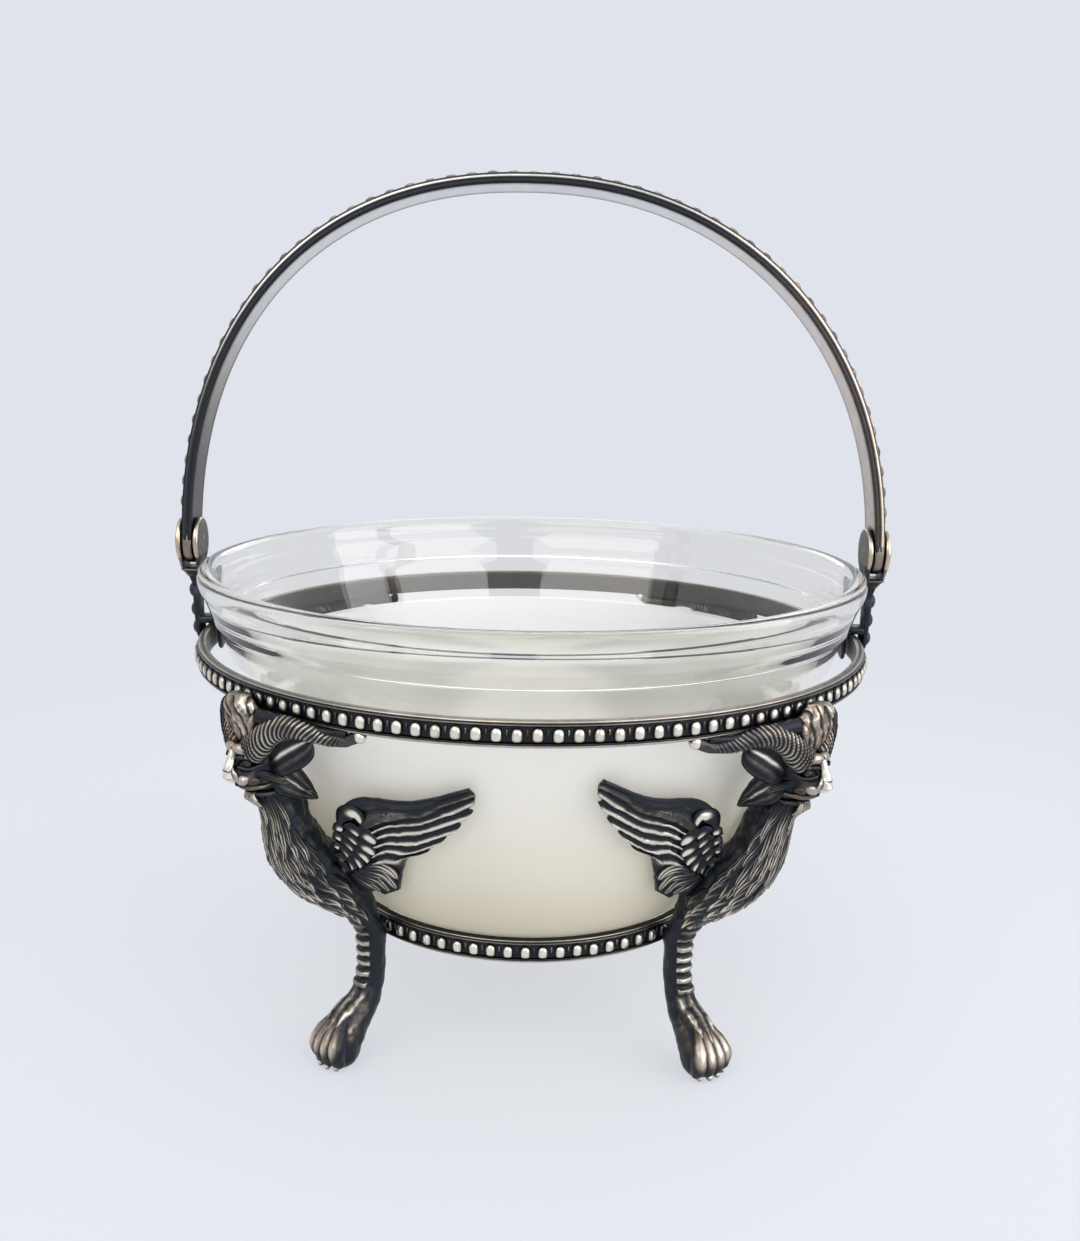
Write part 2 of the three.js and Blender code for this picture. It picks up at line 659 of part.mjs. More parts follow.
// Turns the lower part of a leg about the upright line through its back, by an angle in degrees.
function twisted(solid, twist) {
  const geometry = toGeometry(solid);
  const { position } = geometry.attributes;
  const full = legPoint(0, 0, TWIST_FULL);
  const end = legPoint(0, 0, TWIST_END);
  const low = legPoint(0, 0, 0);
  for (let index = 0; index < position.count; index += 1) {
    const point = new THREE.Vector3().fromBufferAttribute(position, index);
    const angle = radians(twist) * (1 - THREE.MathUtils.smoothstep(point.z, full.z, end.z));
    const back = THREE.MathUtils.mapLinear(Math.max(point.z, low.z), low.z, end.z, low.x, end.x);
    point.setX(point.x - back).applyAxisAngle(UP, angle);
    position.setXYZ(index, point.x + back, point.y, point.z);
  }
  return toSolid(geometry);
}

function griffin(twist) {
  let solid = griffinBody(0);
  for (const side of [-1, 1]) {
    solid = solid.add(horn(side)).add(leaf(EAR, side)).add(leaf(TUFT, side));
  }
  for (let index = 0; index < TOES; index += 1) solid = solid.add(toe(index));
  const reach = UPPER_RING_BORE;
  const below = block(0, reach, reach, -LOWER_RING_HEIGHT, 0);
  return toGeometry(twisted(solid.subtract(toSolid(below)), twist).subtract(cleared));
}

// Wings, given as [arc from the leg's plane, level, distance from the glass]. Each ray of the fan
// runs from the root over the shoulder and the middle to a feather's tip.

function bowlPoint([reach, height, standoff], raised) {
  const share = raised ? reach / WING_REACH : 0;
  const arc = reach * (1 - TIP_PULL * share);
  const level = height + TIP_RAISE * share;
  const { z } = legPoint(0, 0, level);
  const radius = bowlRadius(z) + standoff;
  return { angle: arc / radius, radius, z };
}

const WING_ROOT = [
  [6.4, 0.405, 6.2],
  [3.6, 0.27, 5.6],
];
const WING_SHOULDER = [
  [9, 0.56, 4.6],
  [10.6, 0.53, 3.8],
  [10.8, 0.44, 3.6],
  [9.6, 0.36, 3.8],
  [7.4, 0.28, 4.2],
  [4.6, 0.22, 4.8],
];
const WING_MIDDLE = [
  [14, 0.655, 2.6],
  [18, 0.61, 2],
  [18.4, 0.52, 1.9],
  [15.4, 0.43, 2.1],
  [12.4, 0.33, 2.4],
  [8, 0.23, 3],
];
const WING_TIPS = [
  [38.8, 0.764, WING_STANDOFF],
  [36.8, 0.67, WING_STANDOFF],
  [32.8, 0.595, WING_STANDOFF],
  [28.8, 0.535, WING_STANDOFF],
  [24.2, 0.47, WING_STANDOFF],
  [18.6, 0.42, WING_STANDOFF],
  [15.6, 0.34, WING_STANDOFF],
  [12.4, 0.25, WING_STANDOFF],
  [7.6, 0.2, WING_STANDOFF],
];
const [WING_REACH] = WING_TIPS[0];
const FEATHERS = WING_TIPS.length - 1;
const NOTCH = 0.1; // how far the web between two feathers stops short of their tips
const WING_SAG = 0.024; // how far the feathers dip, in levels, between the middle and the tips
const RIDGE_SHARE = 0.35; // where a feather's ridge lies between its two valleys

function alongList(list, share) {
  const curve = new THREE.CatmullRomCurve3(list.map((point) => new THREE.Vector3(...point)));
  return curve.getPoint(share).toArray();
}

function between(a, b, share) {
  return a.map((value, i) => THREE.MathUtils.lerp(value, b[i], share));
}

// The fan's rays, alternately on a valley between feathers and on a feather's ridge.
function wingRay(ray, raised) {
  const share = ray / (2 * FEATHERS);
  const ridge = ray % 2 === 1;
  const root = between(WING_ROOT[0], WING_ROOT[1], share);
  const shoulder = alongList(WING_SHOULDER, share);
  const middle = alongList(WING_MIDDLE, share);
  const first = Math.floor(ray / 2);
  let tip = WING_TIPS[0];
  if (ridge) tip = between(WING_TIPS[first], WING_TIPS[first + 1], RIDGE_SHARE);
  else if (ray > 0) tip = between(WING_TIPS[first], middle, NOTCH);
  const [arc, level, standoff] = between(middle, tip, 0.5);
  const sagged = [arc, level - WING_SAG * (1 - share), standoff];
  const lift = WING_THICKNESS + (ridge ? FEATHER_RIDGE : 0);
  return [root, shoulder, middle, sagged, tip].map((row) => ({ ...bowlPoint(row, raised), lift }));
}

function wing(twist, raised) {
  const rays = Array.from({ length: 2 * FEATHERS + 1 }, (_, ray) => wingRay(ray, raised));
  const rows = rays[0].length;
  const points = [];
  const faces = [];
  const at = ({ angle, radius, z }, lift) =>
    new THREE.Vector3((radius + lift) * Math.cos(angle), (radius + lift) * Math.sin(angle), z);
  const front = rays.map((ray) => ray.map((row) => points.push(at(row, row.lift)) - 1));
  const back = rays.map((ray, index) => (index % 2 ? null : ray.map((row) => points.push(at(row, 0)) - 1)));
  const quad = (a, b, c, d) => faces.push(a, b, c, a, c, d);
  for (let ray = 0; ray < 2 * FEATHERS; ray += 1) {
    for (let row = 0; row + 1 < rows; row += 1) {
      quad(front[ray][row], front[ray + 1][row], front[ray + 1][row + 1], front[ray][row + 1]);
    }
  }
  for (let ray = 0; ray < 2 * FEATHERS; ray += 2) {
    for (let row = 0; row + 1 < rows; row += 1) {
      quad(back[ray][row], back[ray][row + 1], back[ray + 2][row + 1], back[ray + 2][row]);
    }
    for (const row of [0, rows - 1]) {
      const turned = row === 0;
      const fan = [
        [back[ray][row], front[ray][row], front[ray + 1][row]],
        [back[ray][row], front[ray + 1][row], back[ray + 2][row]],
        [back[ray + 2][row], front[ray + 1][row], front[ray + 2][row]],
      ];
      for (const [a, b, c] of fan) faces.push(...(turned ? [a, c, b] : [a, b, c]));
    }
  }
  for (let row = 0; row + 1 < rows; row += 1) {
    const end = 2 * FEATHERS;
    quad(back[0][row], front[0][row], front[0][row + 1], back[0][row + 1]);
    quad(back[end][row], back[end][row + 1], front[end][row + 1], front[end][row]);
  }
  return toGeometry(toSolid(indexed(points, faces)).subtract(twisted(griffinBody(SEAT_GAP), twist)));
}

// The assembly

const bowlAndFrame = new THREE.Group();
bowlAndFrame.add(piece("glass_bowl", glassBowl(), glass()));
for (const [level, bore, height, segments, beads] of [
  ["upper", UPPER_RING_BORE, UPPER_RING_HEIGHT, UPPER_SEGMENTS, UPPER_BEADS],
  ["lower", LOWER_RING_BORE, LOWER_RING_HEIGHT, LOWER_SEGMENTS, LOWER_BEADS],
]) {
  bowlAndFrame.add(piece(`${level}_ring`, ring(bore, height, segments), silver(DARKENED, SATIN)));
  const beading = ringBeading(bore, height, beads);
  bowlAndFrame.add(piece(`${level}_ring_beading`, beading, silver(BRIGHT, POLISHED)));
}

for (const [corner, { azimuth, twist }] of Object.entries(LEGS)) {
  const leg = new THREE.Group();
  leg.rotation.z = radians(azimuth);
  leg.add(piece(`griffin_${corner}`, griffin(twist), silver(OXIDISED, SATIN)));
  for (const [hand, mirror] of [["ccw", 1], ["cw", -1]]) {
    const name = `wing_${corner}_${hand}`;
    const feathered = piece(name, wing(mirror * twist, name === RAISED_WING), silver(OXIDISED, SATIN));
    feathered.scale.y = mirror;
    leg.add(feathered);
  }
  bowlAndFrame.add(leg);
}

const bracketShape = bracket();
const pinShape = pivotPin();
for (const [side, turn] of [["right", 0], ["left", Math.PI]]) {
  const end = new THREE.Group();
  end.rotation.z = turn;
  end.add(piece(`bracket_${side}`, bracketShape, silver(DARKENED, SATIN)));
  end.add(piece(`pivot_pin_${side}`, pinShape, silver(SMOOTH, POLISHED)));
  bowlAndFrame.add(end);
}

const handle = new THREE.Group();
handle.position.z = PIVOT_HEIGHT;
handle.rotation.x = -radians(HANDLE_LEAN);
handle.add(piece("handle_strap", handleStrap(), silver(SMOOTH, POLISHED)));
handle.add(piece("handle_beading", handleBeading(), silver(BRIGHT, POLISHED)));
bowlAndFrame.add(handle);

export default bowlAndFrame;
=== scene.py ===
"""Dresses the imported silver-mounted glass bowl: glass, patinated silver, beading, griffins and light."""

import math

import bmesh
import bpy
import numpy as np
from mathutils import Matrix, Vector


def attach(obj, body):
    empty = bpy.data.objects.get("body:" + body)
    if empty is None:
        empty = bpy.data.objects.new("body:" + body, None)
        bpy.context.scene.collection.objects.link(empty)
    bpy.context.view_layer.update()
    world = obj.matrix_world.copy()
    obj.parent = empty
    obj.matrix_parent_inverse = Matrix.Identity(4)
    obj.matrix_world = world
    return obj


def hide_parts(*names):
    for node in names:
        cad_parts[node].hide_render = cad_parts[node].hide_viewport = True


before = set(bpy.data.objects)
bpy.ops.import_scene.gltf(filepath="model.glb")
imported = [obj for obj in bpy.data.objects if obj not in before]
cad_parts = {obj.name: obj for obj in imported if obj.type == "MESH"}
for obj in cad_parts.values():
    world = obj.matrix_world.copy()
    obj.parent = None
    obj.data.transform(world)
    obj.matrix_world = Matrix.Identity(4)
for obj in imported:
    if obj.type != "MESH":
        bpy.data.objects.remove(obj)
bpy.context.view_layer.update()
scene = bpy.context.scene
MM = 0.001
TURN = 2 * math.pi
X, Y, Z = np.eye(3)

# Sizes repeated from the CAD source, in millimetres
LOWER_RING_HEIGHT = 26.3
UPPER_RING_HEIGHT = 80
LOWER_RING_BORE = 38.6
UPPER_RING_BORE = 68.4
RING_TALL = 4.8
RING_DEPTH = 2
GROOVE_TALL = 3.1
GROOVE_DEPTH = 1.05
UPPER_BEADS = 128
LOWER_BEADS = 74
NECK_RADIUS = 66
NECK_HEIGHT = 86.5
COLLAR_STEP = 0.9
RIM_RADIUS = 70
RIM_HEIGHT = 97.2
GLASS_WALL = 3.2
SEAT_RADIUS = 38.3
SEAT_HEIGHT = 28.7
BASE_INSET = 4.4
BASE_DROP = 3.6
FLOOR_THICKNESS = 4.2
PIVOT_HEIGHT = 100.4
HANDLE_LEAN = 7
HANDLE_RISE = 76.7
HANDLE_SQUARENESS = 2.2
HANDLE_WIDTH = 9.5
STRAP_THICKNESS = 2.1
HANDLE_BEADS = 53
HANDLE_BEADING_START = 6.2
CHEEK_IN = 70.6
STRAP_IN = 71.95
STRAP_OUT = 74.05
CHEEK_OUT = 75.35
HEAD_RADIUS = 4.9
RUNNING_GAP = 0.25
PIN_RADIUS = 1.4
PIN_HEAD_RADIUS = 2.2
PIN_END = 76.1
ARM_WIDTH = 4.6
ARM_IN = 71.35
FOOT_IN = 66.9
LEGS = {"front_left": 225, "front_right": 315, "back_left": 135, "back_right": 45}


# Small mathematics


def lerp(a, b, share):
    return a + (b - a) * share


def smooth(value, low=0.0, high=1.0):
    share = np.clip((np.asarray(value, float) - low) / (high - low), 0, 1)
    return share * share * (3 - 2 * share)


def bump(value, centre, width):
    return np.exp(-(((np.asarray(value, float) - centre) / width) ** 2))


def catmull(a, b, c, d, t):
    return 0.5 * (2 * b + (c - a) * t + (2 * a - 5 * b + 4 * c - d) * t**2 + (3 * b - a - 3 * c + d) * t**3)


def spline(points, shares):
    """Catmull-Rom through the points, at shares from 0 to 1 of the point list."""
    points = np.asarray(points, float)
    shares = np.atleast_1d(shares)
    spans = len(points) - 1
    at = np.clip(shares * spans, 0, spans - 1e-9)
    index = at.astype(int)
    t = (at - index)[:, None]
    padded = np.vstack([2 * points[0] - points[1], points, 2 * points[-1] - points[-2]])
    return catmull(*(padded[index + k] for k in range(4)), t)


def normalised(vectors):
    vectors = np.asarray(vectors, float)
    return vectors / np.maximum(np.linalg.norm(vectors, axis=-1, keepdims=True), 1e-12)


def around(sides):
    """Evenly spaced angles of a full turn."""
    return np.arange(sides) / sides * TURN


def squared(wave, power):
    """A sine or cosine with its magnitude raised to a power, which squares a circle or narrows it."""
    return np.sign(wave) * np.abs(wave) ** power


def alike(*values):
    """Numbers and arrays as arrays of one shape."""
    return np.broadcast_arrays(*(np.asarray(value, float) for value in values))


# Uneven numbers that turn a corner of a grid and a seed into a value that looks random
HASH_STEPS = np.array([127.1, 311.7, 74.7])
HASH_SEED, HASH_SCALE = 17.3, 43758.5453


def clumps(points, size, seed=0):
    """Smooth random values from -1 to 1 at points in space, in lumps of about the size given."""
    at = np.asarray(points, float) / size
    low = np.floor(at)
    share = smooth(at - low)
    total = 0
    for corner in np.ndindex(2, 2, 2):
        wild = np.sin((low + corner) @ HASH_STEPS + seed * HASH_SEED) * HASH_SCALE
        weight = np.prod(np.where(corner, share, 1 - share), axis=-1)
        total += weight * (2 * (wild - np.floor(wild)) - 1)
    return total


def uneven(points, amount, size, seeds):
    """Points moved a little each way, in lumps, as the surface of a casting is."""
    return points + amount * np.stack([clumps(points, size, seed) for seed in seeds], axis=-1)


# Meshes

# Relief that a point gains where it stands out, for each unit of curvature, so that edges look worn
WEAR = 0.11


def standing_out(mesh):
    """How far each point stands out from its neighbours, as a curvature from -2 to 2 per millimetre."""
    at = np.empty(len(mesh.vertices) * 3)
    mesh.vertices.foreach_get("co", at)
    normal = np.empty(len(at))
    mesh.vertices.foreach_get("normal", normal)
    at, normal = at.reshape(-1, 3) / MM, normal.reshape(-1, 3)
    ends = np.empty(len(mesh.edges) * 2, int)
    mesh.edges.foreach_get("vertices", ends)
    a, b = np.concatenate([ends.reshape(-1, 2), ends.reshape(-1, 2)[:, ::-1]]).T
    degree = np.maximum(np.bincount(a, minlength=len(at)), 1)
    step = at[b] - at[a]
    sink = -(step * normal[a]).sum(1) / np.maximum((step**2).sum(1), 1e-4)
    bend = np.clip(np.bincount(a, sink, len(at)) / degree, -2, 2)
    return (bend + np.bincount(a, bend[b], len(at)) / degree) / 2


class Shape:
    """Points in millimetres with a relief from 0 (recess) to 1 (worn bright) and a warmth from 0 to 1,
    and faces, each with the index of its material."""

    def __init__(self):
        self.points, self.relief, self.warmth = [], [], []
        self.faces, self.slots = [], []
        self.count = 0

    def add(self, points, faces, relief=0.5, warmth=0.0, slot=0):
        points = np.asarray(points, float).reshape(-1, 3)
        self.points.append(points)
        for store, values in ((self.relief, relief), (self.warmth, warmth)):
            store.append(np.broadcast_to(np.ravel(values), len(points)).astype(float))
        self.faces.extend([tuple(i + self.count for i in face) for face in faces])
        self.slots.extend(np.broadcast_to(np.ravel(slot), len(faces)).tolist())
        self.count += len(points)
        return self

    def mesh(self, name, materials):
        mesh = bpy.data.meshes.new(name)
        mesh.from_pydata([tuple(p * MM) for p in np.vstack(self.points)], [], self.faces)
        net = bmesh.new()
        net.from_mesh(mesh)
        bmesh.ops.recalc_face_normals(net, faces=net.faces)
        net.to_mesh(mesh)
        net.free()
        worn = np.concatenate(self.relief) + WEAR * standing_out(mesh)
        for label, values in (("relief", worn), ("warmth", np.concatenate(self.warmth))):
            layer = mesh.attributes.new(label, "FLOAT", "POINT")
            layer.data.foreach_set("value", np.clip(values, 0, 1).astype(np.float32))
        for material in materials:
            mesh.materials.append(material)
        mesh.polygons.foreach_set("material_index", self.slots)
        mesh.polygons.foreach_set("use_smooth", [True] * len(mesh.polygons))
        mesh.update()
        return mesh


def place(mesh, node, finish, body, slot, matrix=None):
    """Puts a mesh in the scene in place of a node. A matrix is worked into a copy of the mesh."""
    if matrix is not None:
        mesh = mesh.copy()
        mesh.transform(matrix)
        if matrix.determinant() < 0:
            mesh.flip_normals()
    piece = bpy.data.objects.new(node + "_" + finish, mesh)
    scene.collection.objects.link(piece)
    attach(piece, body)
    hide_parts(node)


def grid_faces(rows, columns, closed_rows=False, closed_columns=False):
    faces = []
    for row in range(rows if closed_rows else rows - 1):
        near, far = row * columns, (row + 1) % rows * columns
        for column in range(columns if closed_columns else columns - 1):
            right = (column + 1) % columns
            faces.append((near + column, near + right, far + right, far + column))
    return faces


def tube(shape, rings, relief=0.5, warmth=0.0):
    """A closed skin through rings of equally many points, each end closed by a point in its middle."""
    rings = np.asarray(rings, float)
    count, sides = rings.shape[:2]
    points = np.vstack([rings.reshape(-1, 3), rings[0].mean(0), rings[-1].mean(0)])
    faces = grid_faces(count, sides, closed_columns=True)
    first, last, last_ring = count * sides, count * sides + 1, (count - 1) * sides
    for side in range(sides):
        after = (side + 1) % sides
        faces.append((first, after, side))
        faces.append((last, last_ring + side, last_ring + after))
    shades = []
    for values in (relief, warmth):
        if not np.isscalar(values):
            values = np.asarray(values, float).reshape(count, -1) * np.ones((count, sides))
            values = np.concatenate([values.ravel(), [values[0].mean(), values[-1].mean()]])
        shades.append(values)
    shape.add(points, faces, *shades)


def capped_tube(shape, rings, relief, warmth=0.0):
    """A closed skin through rings of equally many points, with a flat face at each end."""
    count, sides = rings.shape[:2]
    caps = [tuple(range(sides))[::-1], tuple((count - 1) * sides + k for k in range(sides))]
    faces = [*grid_faces(count, sides, closed_columns=True), *caps]
    shape.add(rings, faces, relief, warmth)


def sweep(shape, path, radii, sides=12, flat=1.0, normal=Z, relief=0.5, warmth=0.0, swell=None):
    """A tube along a path. flat squashes it along the normal. swell(share, angle) scales its radius."""
    path = np.asarray(path, float)
    tangent = normalised(np.gradient(path, axis=0))
    across = normalised(np.cross(tangent, np.broadcast_to(np.asarray(normal, float), path.shape)))
    up = np.cross(across, tangent)
    angle = around(sides)
    scale = np.broadcast_to(np.asarray(radii, float), len(path))[:, None] * np.ones((1, sides))
    if swell is not None:
        scale = scale * swell(np.linspace(0, 1, len(path))[:, None], angle[None, :])
    rings = path[:, None] + across[:, None] * (np.cos(angle) * scale)[..., None]
    rings += up[:, None] * (np.sin(angle) * scale * flat)[..., None]
    tube(shape, rings, relief, warmth)


def blob(shape, centre, axes, sides=14, relief=0.6, warmth=0.0):
    """An ellipsoid whose half axes are the three vectors given."""
    polar = np.linspace(0, math.pi, sides // 2 + 2)[1:-1]
    angle = around(sides)[:, None]
    centre, axes = np.asarray(centre, float), np.asarray(axes, float)
    equator = np.cos(angle) * axes[0] + np.sin(angle) * axes[1]
    rings = [centre + math.cos(p) * axes[2] + math.sin(p) * equator for p in polar[::-1]]
    tube(shape, rings, relief, warmth)


def lathe(profile, segments):
    """Points of a profile of [radius, height] turned about Z, one row for each profile point."""
    radius, height = np.asarray(profile, float).T[:, :, None]
    angle = around(segments)
    return np.stack([radius * np.cos(angle), radius * np.sin(angle), height + 0 * angle], axis=-1)


# Materials


class Nodes:
    """Short names for building a material's node tree."""

    def __init__(self, name):
        self.material = bpy.data.materials.new(name)
        self.material.use_nodes = True
        self.tree = self.material.node_tree
        self.shader = self.tree.nodes["Principled BSDF"]
        self.output = self.tree.nodes["Material Output"]
        self.where = self.node("TexCoord").outputs["Object"]

    def feed(self, node, inputs):
        """Links sockets to a node's inputs and sets the others. Colours are given as three values."""
        for key, value in inputs.items():
            if isinstance(value, bpy.types.NodeSocket):
                self.tree.links.new(value, node.inputs[key])
            else:
                node.inputs[key].default_value = (*value, 1) if isinstance(value, tuple) else value
        return node

    def node(self, kind, inputs=None, **settings):
        made = self.tree.nodes.new("ShaderNode" + kind)
        for key, value in settings.items():
            setattr(made, key, value)
        return self.feed(made, inputs or {})

    def math(self, operation, a, b=0.0, clamp=False):
        return self.node("Math", {0: a, 1: b}, operation=operation, use_clamp=clamp).outputs[0]

    def noise(self, scale, detail=3.0, roughness=0.55):
        inputs = {"Vector": self.where, "Scale": scale, "Detail": detail, "Roughness": roughness}
        return self.node("TexNoise", inputs).outputs["Fac"]

    def attribute(self, name):
        return self.node("Attribute", attribute_name=name).outputs["Fac"]

    def remap(self, value, a, b, c, d):
        inputs = {"Value": value, "From Min": a, "From Max": b, "To Min": c, "To Max": d}
        return self.node("MapRange", inputs).outputs["Result"]

    def centred(self, value, width):
        """A value from 0 to 1 as one about nought, over the width given."""
        return self.math("MULTIPLY", self.math("SUBTRACT", value, 0.5), width)

    def ramp(self, value, stops):
        made = self.node("ValToRGB", {"Fac": value})
        elements = made.color_ramp.elements
        while len(elements) < len(stops):
            elements.new(0.5)
        for element, (position, colour) in zip(elements, stops):
            element.position = position
            element.color = (*colour, 1)
        return made.outputs["Color"]

    def mix(self, share, a, b, blend="MIX"):
        return self.node("Mix", {0: share, 6: a, 7: b}, data_type="RGBA", blend_type=blend).outputs[2]

    def roughen(self, height, strength, distance):
        """Bumps the main shader's surface."""
        made = self.node("Bump", {"Height": height, "Strength": strength, "Distance": distance})
        self.feed(self.shader, {"Normal": made.outputs["Normal"]})

    def cover(self, share, other):
        """Mixes another shader over the main one."""
        mixed = self.node("MixShader", {0: share, 1: self.shader.outputs[0], 2: other.outputs[0]})
        self.feed(self.output, {"Surface": mixed.outputs[0]})


BLACK_PATINA = (0.005, 0.007, 0.010)
BLUE_PATINA = (0.014, 0.019, 0.027)
BROWN_PATINA = (0.075, 0.064, 0.055)
DULL_SILVER = (0.31, 0.29, 0.25)
BRIGHT_SILVER = (0.80, 0.76, 0.66)
WHITE_SILVER = (0.72, 0.735, 0.745)
GILT_SILVER = (0.70, 0.61, 0.47)
WARM_SILVER = (0.74, 0.52, 0.38)
SILVER_STEPS = (0.0, 0.27, 0.46, 0.66, 0.93)
RELIEF_CONTRAST = 1.1
CAVITY_POWER = 1.3
BLOTCH_SCALE, WARM_BLOTCH_SCALE = 260, 420
WARM_STRENGTH = 0.6
FINE_ROUGHNESS = 0.12
GRAIN_STRENGTH, GRAIN_HEIGHT = 0.35, 0.00008


def silver(name, cavity=0.0016, tarnish=0.25, shine=(0.33, 0.22), grain=900, bright=BRIGHT_SILVER):
    """Oxidised silver: black in its recesses, bright where the relief is high, blotched with tarnish.
    cavity is the width of recess that stays dark, in metres, and shine the roughness of dull and of
    bright metal."""
    n = Nodes(name)
    occlusion = n.node("AmbientOcclusion", {"Distance": cavity}, samples=6).outputs["AO"]
    fine = n.noise(grain * 2, 3, 0.6)
    level = n.math("ADD", n.centred(n.attribute("relief"), RELIEF_CONTRAST), 0.5)
    level = n.math("MULTIPLY", level, n.math("POWER", occlusion, CAVITY_POWER))
    level = n.math("ADD", level, n.centred(n.noise(BLOTCH_SCALE, 4, 0.6), tarnish))
    level = n.math("ADD", level, n.centred(fine, tarnish * 0.5), clamp=True)
    steps = zip(SILVER_STEPS, (BLACK_PATINA, BLUE_PATINA, BROWN_PATINA, DULL_SILVER, bright))
    colour = n.ramp(level, list(steps))
    patches = n.remap(n.noise(WARM_BLOTCH_SCALE), 0.42, 0.62, 0, 1)
    warm = n.math("MULTIPLY", n.attribute("warmth"), patches, clamp=True)
    fine_rough = n.math("MULTIPLY", fine, FINE_ROUGHNESS)
    surface = {
        "Base Color": n.mix(n.math("MULTIPLY", warm, WARM_STRENGTH), colour, WARM_SILVER, "OVERLAY"),
        "Metallic": n.remap(level, 0.1, 0.6, 0.55, 1.0),
        "Roughness": n.math("ADD", n.remap(level, 0.2, 0.9, *shine), fine_rough),
    }
    n.feed(n.shader, surface)
    height = n.math("ADD", n.noise(grain, 4, 0.65), n.math("MULTIPLY", fine, 0.5))
    n.roughen(height, GRAIN_STRENGTH, GRAIN_HEIGHT)
    return n.material


cast_silver = silver("cast_silver")
ring_silver = silver("ring_silver", tarnish=0.2, grain=700)
bead_silver = silver("bead_silver", cavity=0.0012, tarnish=0.3)
bracket_silver = silver("bracket_silver", tarnish=0.22, bright=GILT_SILVER)
handle_silver = silver("handle_silver", 0.001, 0.12, (0.35, 0.25), 500, WHITE_SILVER)

CLEAR_TINT = (0.915, 0.905, 0.86)
SHADOW_TINT = (0.93, 0.93, 0.91)
# Colours of the ground glass up its height: darker and warmer low down, a painted shade
SATIN_SHADE_STEPS = [(0.0, (0.76, 0.71, 0.58)), (0.4, (0.88, 0.84, 0.735)), (1.0, (0.95, 0.935, 0.90))]
SATIN_FROM, SATIN_TO = 0.03, 0.075
# The inner wall's darker, cooler colour is a painted shade
INNER_SATIN_SHADE = (0.76, 0.785, 0.80)
SATIN_GLOW = 0.35


def clear_glass():
    """Clear glass that lets the lamps' light through, as real glass does."""
    n = Nodes("clear_glass")
    surface = {"Base Color": CLEAR_TINT, "Roughness": 0.0, "IOR": 1.5, "Transmission Weight": 1.0}
    n.feed(n.shader, surface)
    n.roughen(n.noise(45, 2, 0.4), 0.25, 0.0006)
    shadow = n.node("LightPath").outputs["Is Shadow Ray"]
    n.cover(shadow, n.node("BsdfTransparent", {"Color": SHADOW_TINT}))
    return n.material


def satin_glass():
    """Ground glass: milky and soft. Its colour is darker and warmer towards its base and darker and cooler on
    the inner wall: both are painted shade.
    """
    n = Nodes("satin_glass")
    height = n.node("SeparateXYZ", {0: n.where}).outputs["Z"]
    share = n.math("ADD", n.remap(height, SATIN_FROM, SATIN_TO, 0, 1), n.centred(n.noise(30, 3, 0.5), 0.3))
    outer = n.ramp(share, SATIN_SHADE_STEPS)
    surface = {
        "Base Color": n.mix(n.attribute("warmth"), outer, INNER_SATIN_SHADE),
        "Roughness": n.remap(n.noise(120), 0.3, 0.7, 0.5, 0.62),
        "IOR": 1.45,
        "Transmission Weight": 0.3,
    }
    n.feed(n.shader, surface)
    n.roughen(n.noise(4000, 2, 0.5), 0.15, 0.00005)
    n.cover(SATIN_GLOW, n.node("BsdfTranslucent", {"Color": outer}))
    return n.material


# Glass bowl

GLASS_SEGMENTS = 192
# Above this height the glass is clear
SATIN_TOP = 77.0
# The side's outline, as the four points of a curve from the seat to the neck
SIDE = np.array(
    [
        [SEAT_RADIUS, SEAT_HEIGHT],
        [SEAT_RADIUS + 5.6, SEAT_HEIGHT - 0.2],
        [NECK_RADIUS - 0.4, NECK_HEIGHT - 4.5],
        [NECK_RADIUS, NECK_HEIGHT],
    ]
)


def bezier(points, shares):
    t = np.atleast_1d(shares)[:, None]
    a, b, c, d = points
    return a * (1 - t) ** 3 + 3 * b * t * (1 - t) ** 2 + 3 * c * t**2 * (1 - t) + d * t**3


SIDE_TABLE = bezier(SIDE, np.linspace(0, 1, 400))


def bowl_radius(height):
    return np.interp(height, SIDE_TABLE[:, 1], SIDE_TABLE[:, 0])


def rounded(points, steps):
    """A polyline whose corners are rounded: each entry is (radius, height, corner radius)."""
    out = []
    for i, (r, z, corner) in enumerate(points):
        here = np.array([r, z], float)
        if corner <= 0 or i in (0, len(points) - 1):
            out.append(here)
            continue
        before = np.array(points[i - 1][:2], float) - here
        after = np.array(points[i + 1][:2], float) - here
        cut = min(corner, np.linalg.norm(before) * 0.49, np.linalg.norm(after) * 0.49)
        start = here + before / np.linalg.norm(before) * cut
        end = here + after / np.linalg.norm(after) * cut
        for t in np.linspace(0, 1, steps):
            out.append(start * (1 - t) ** 2 + 2 * here * t * (1 - t) + end * t**2)
    return out


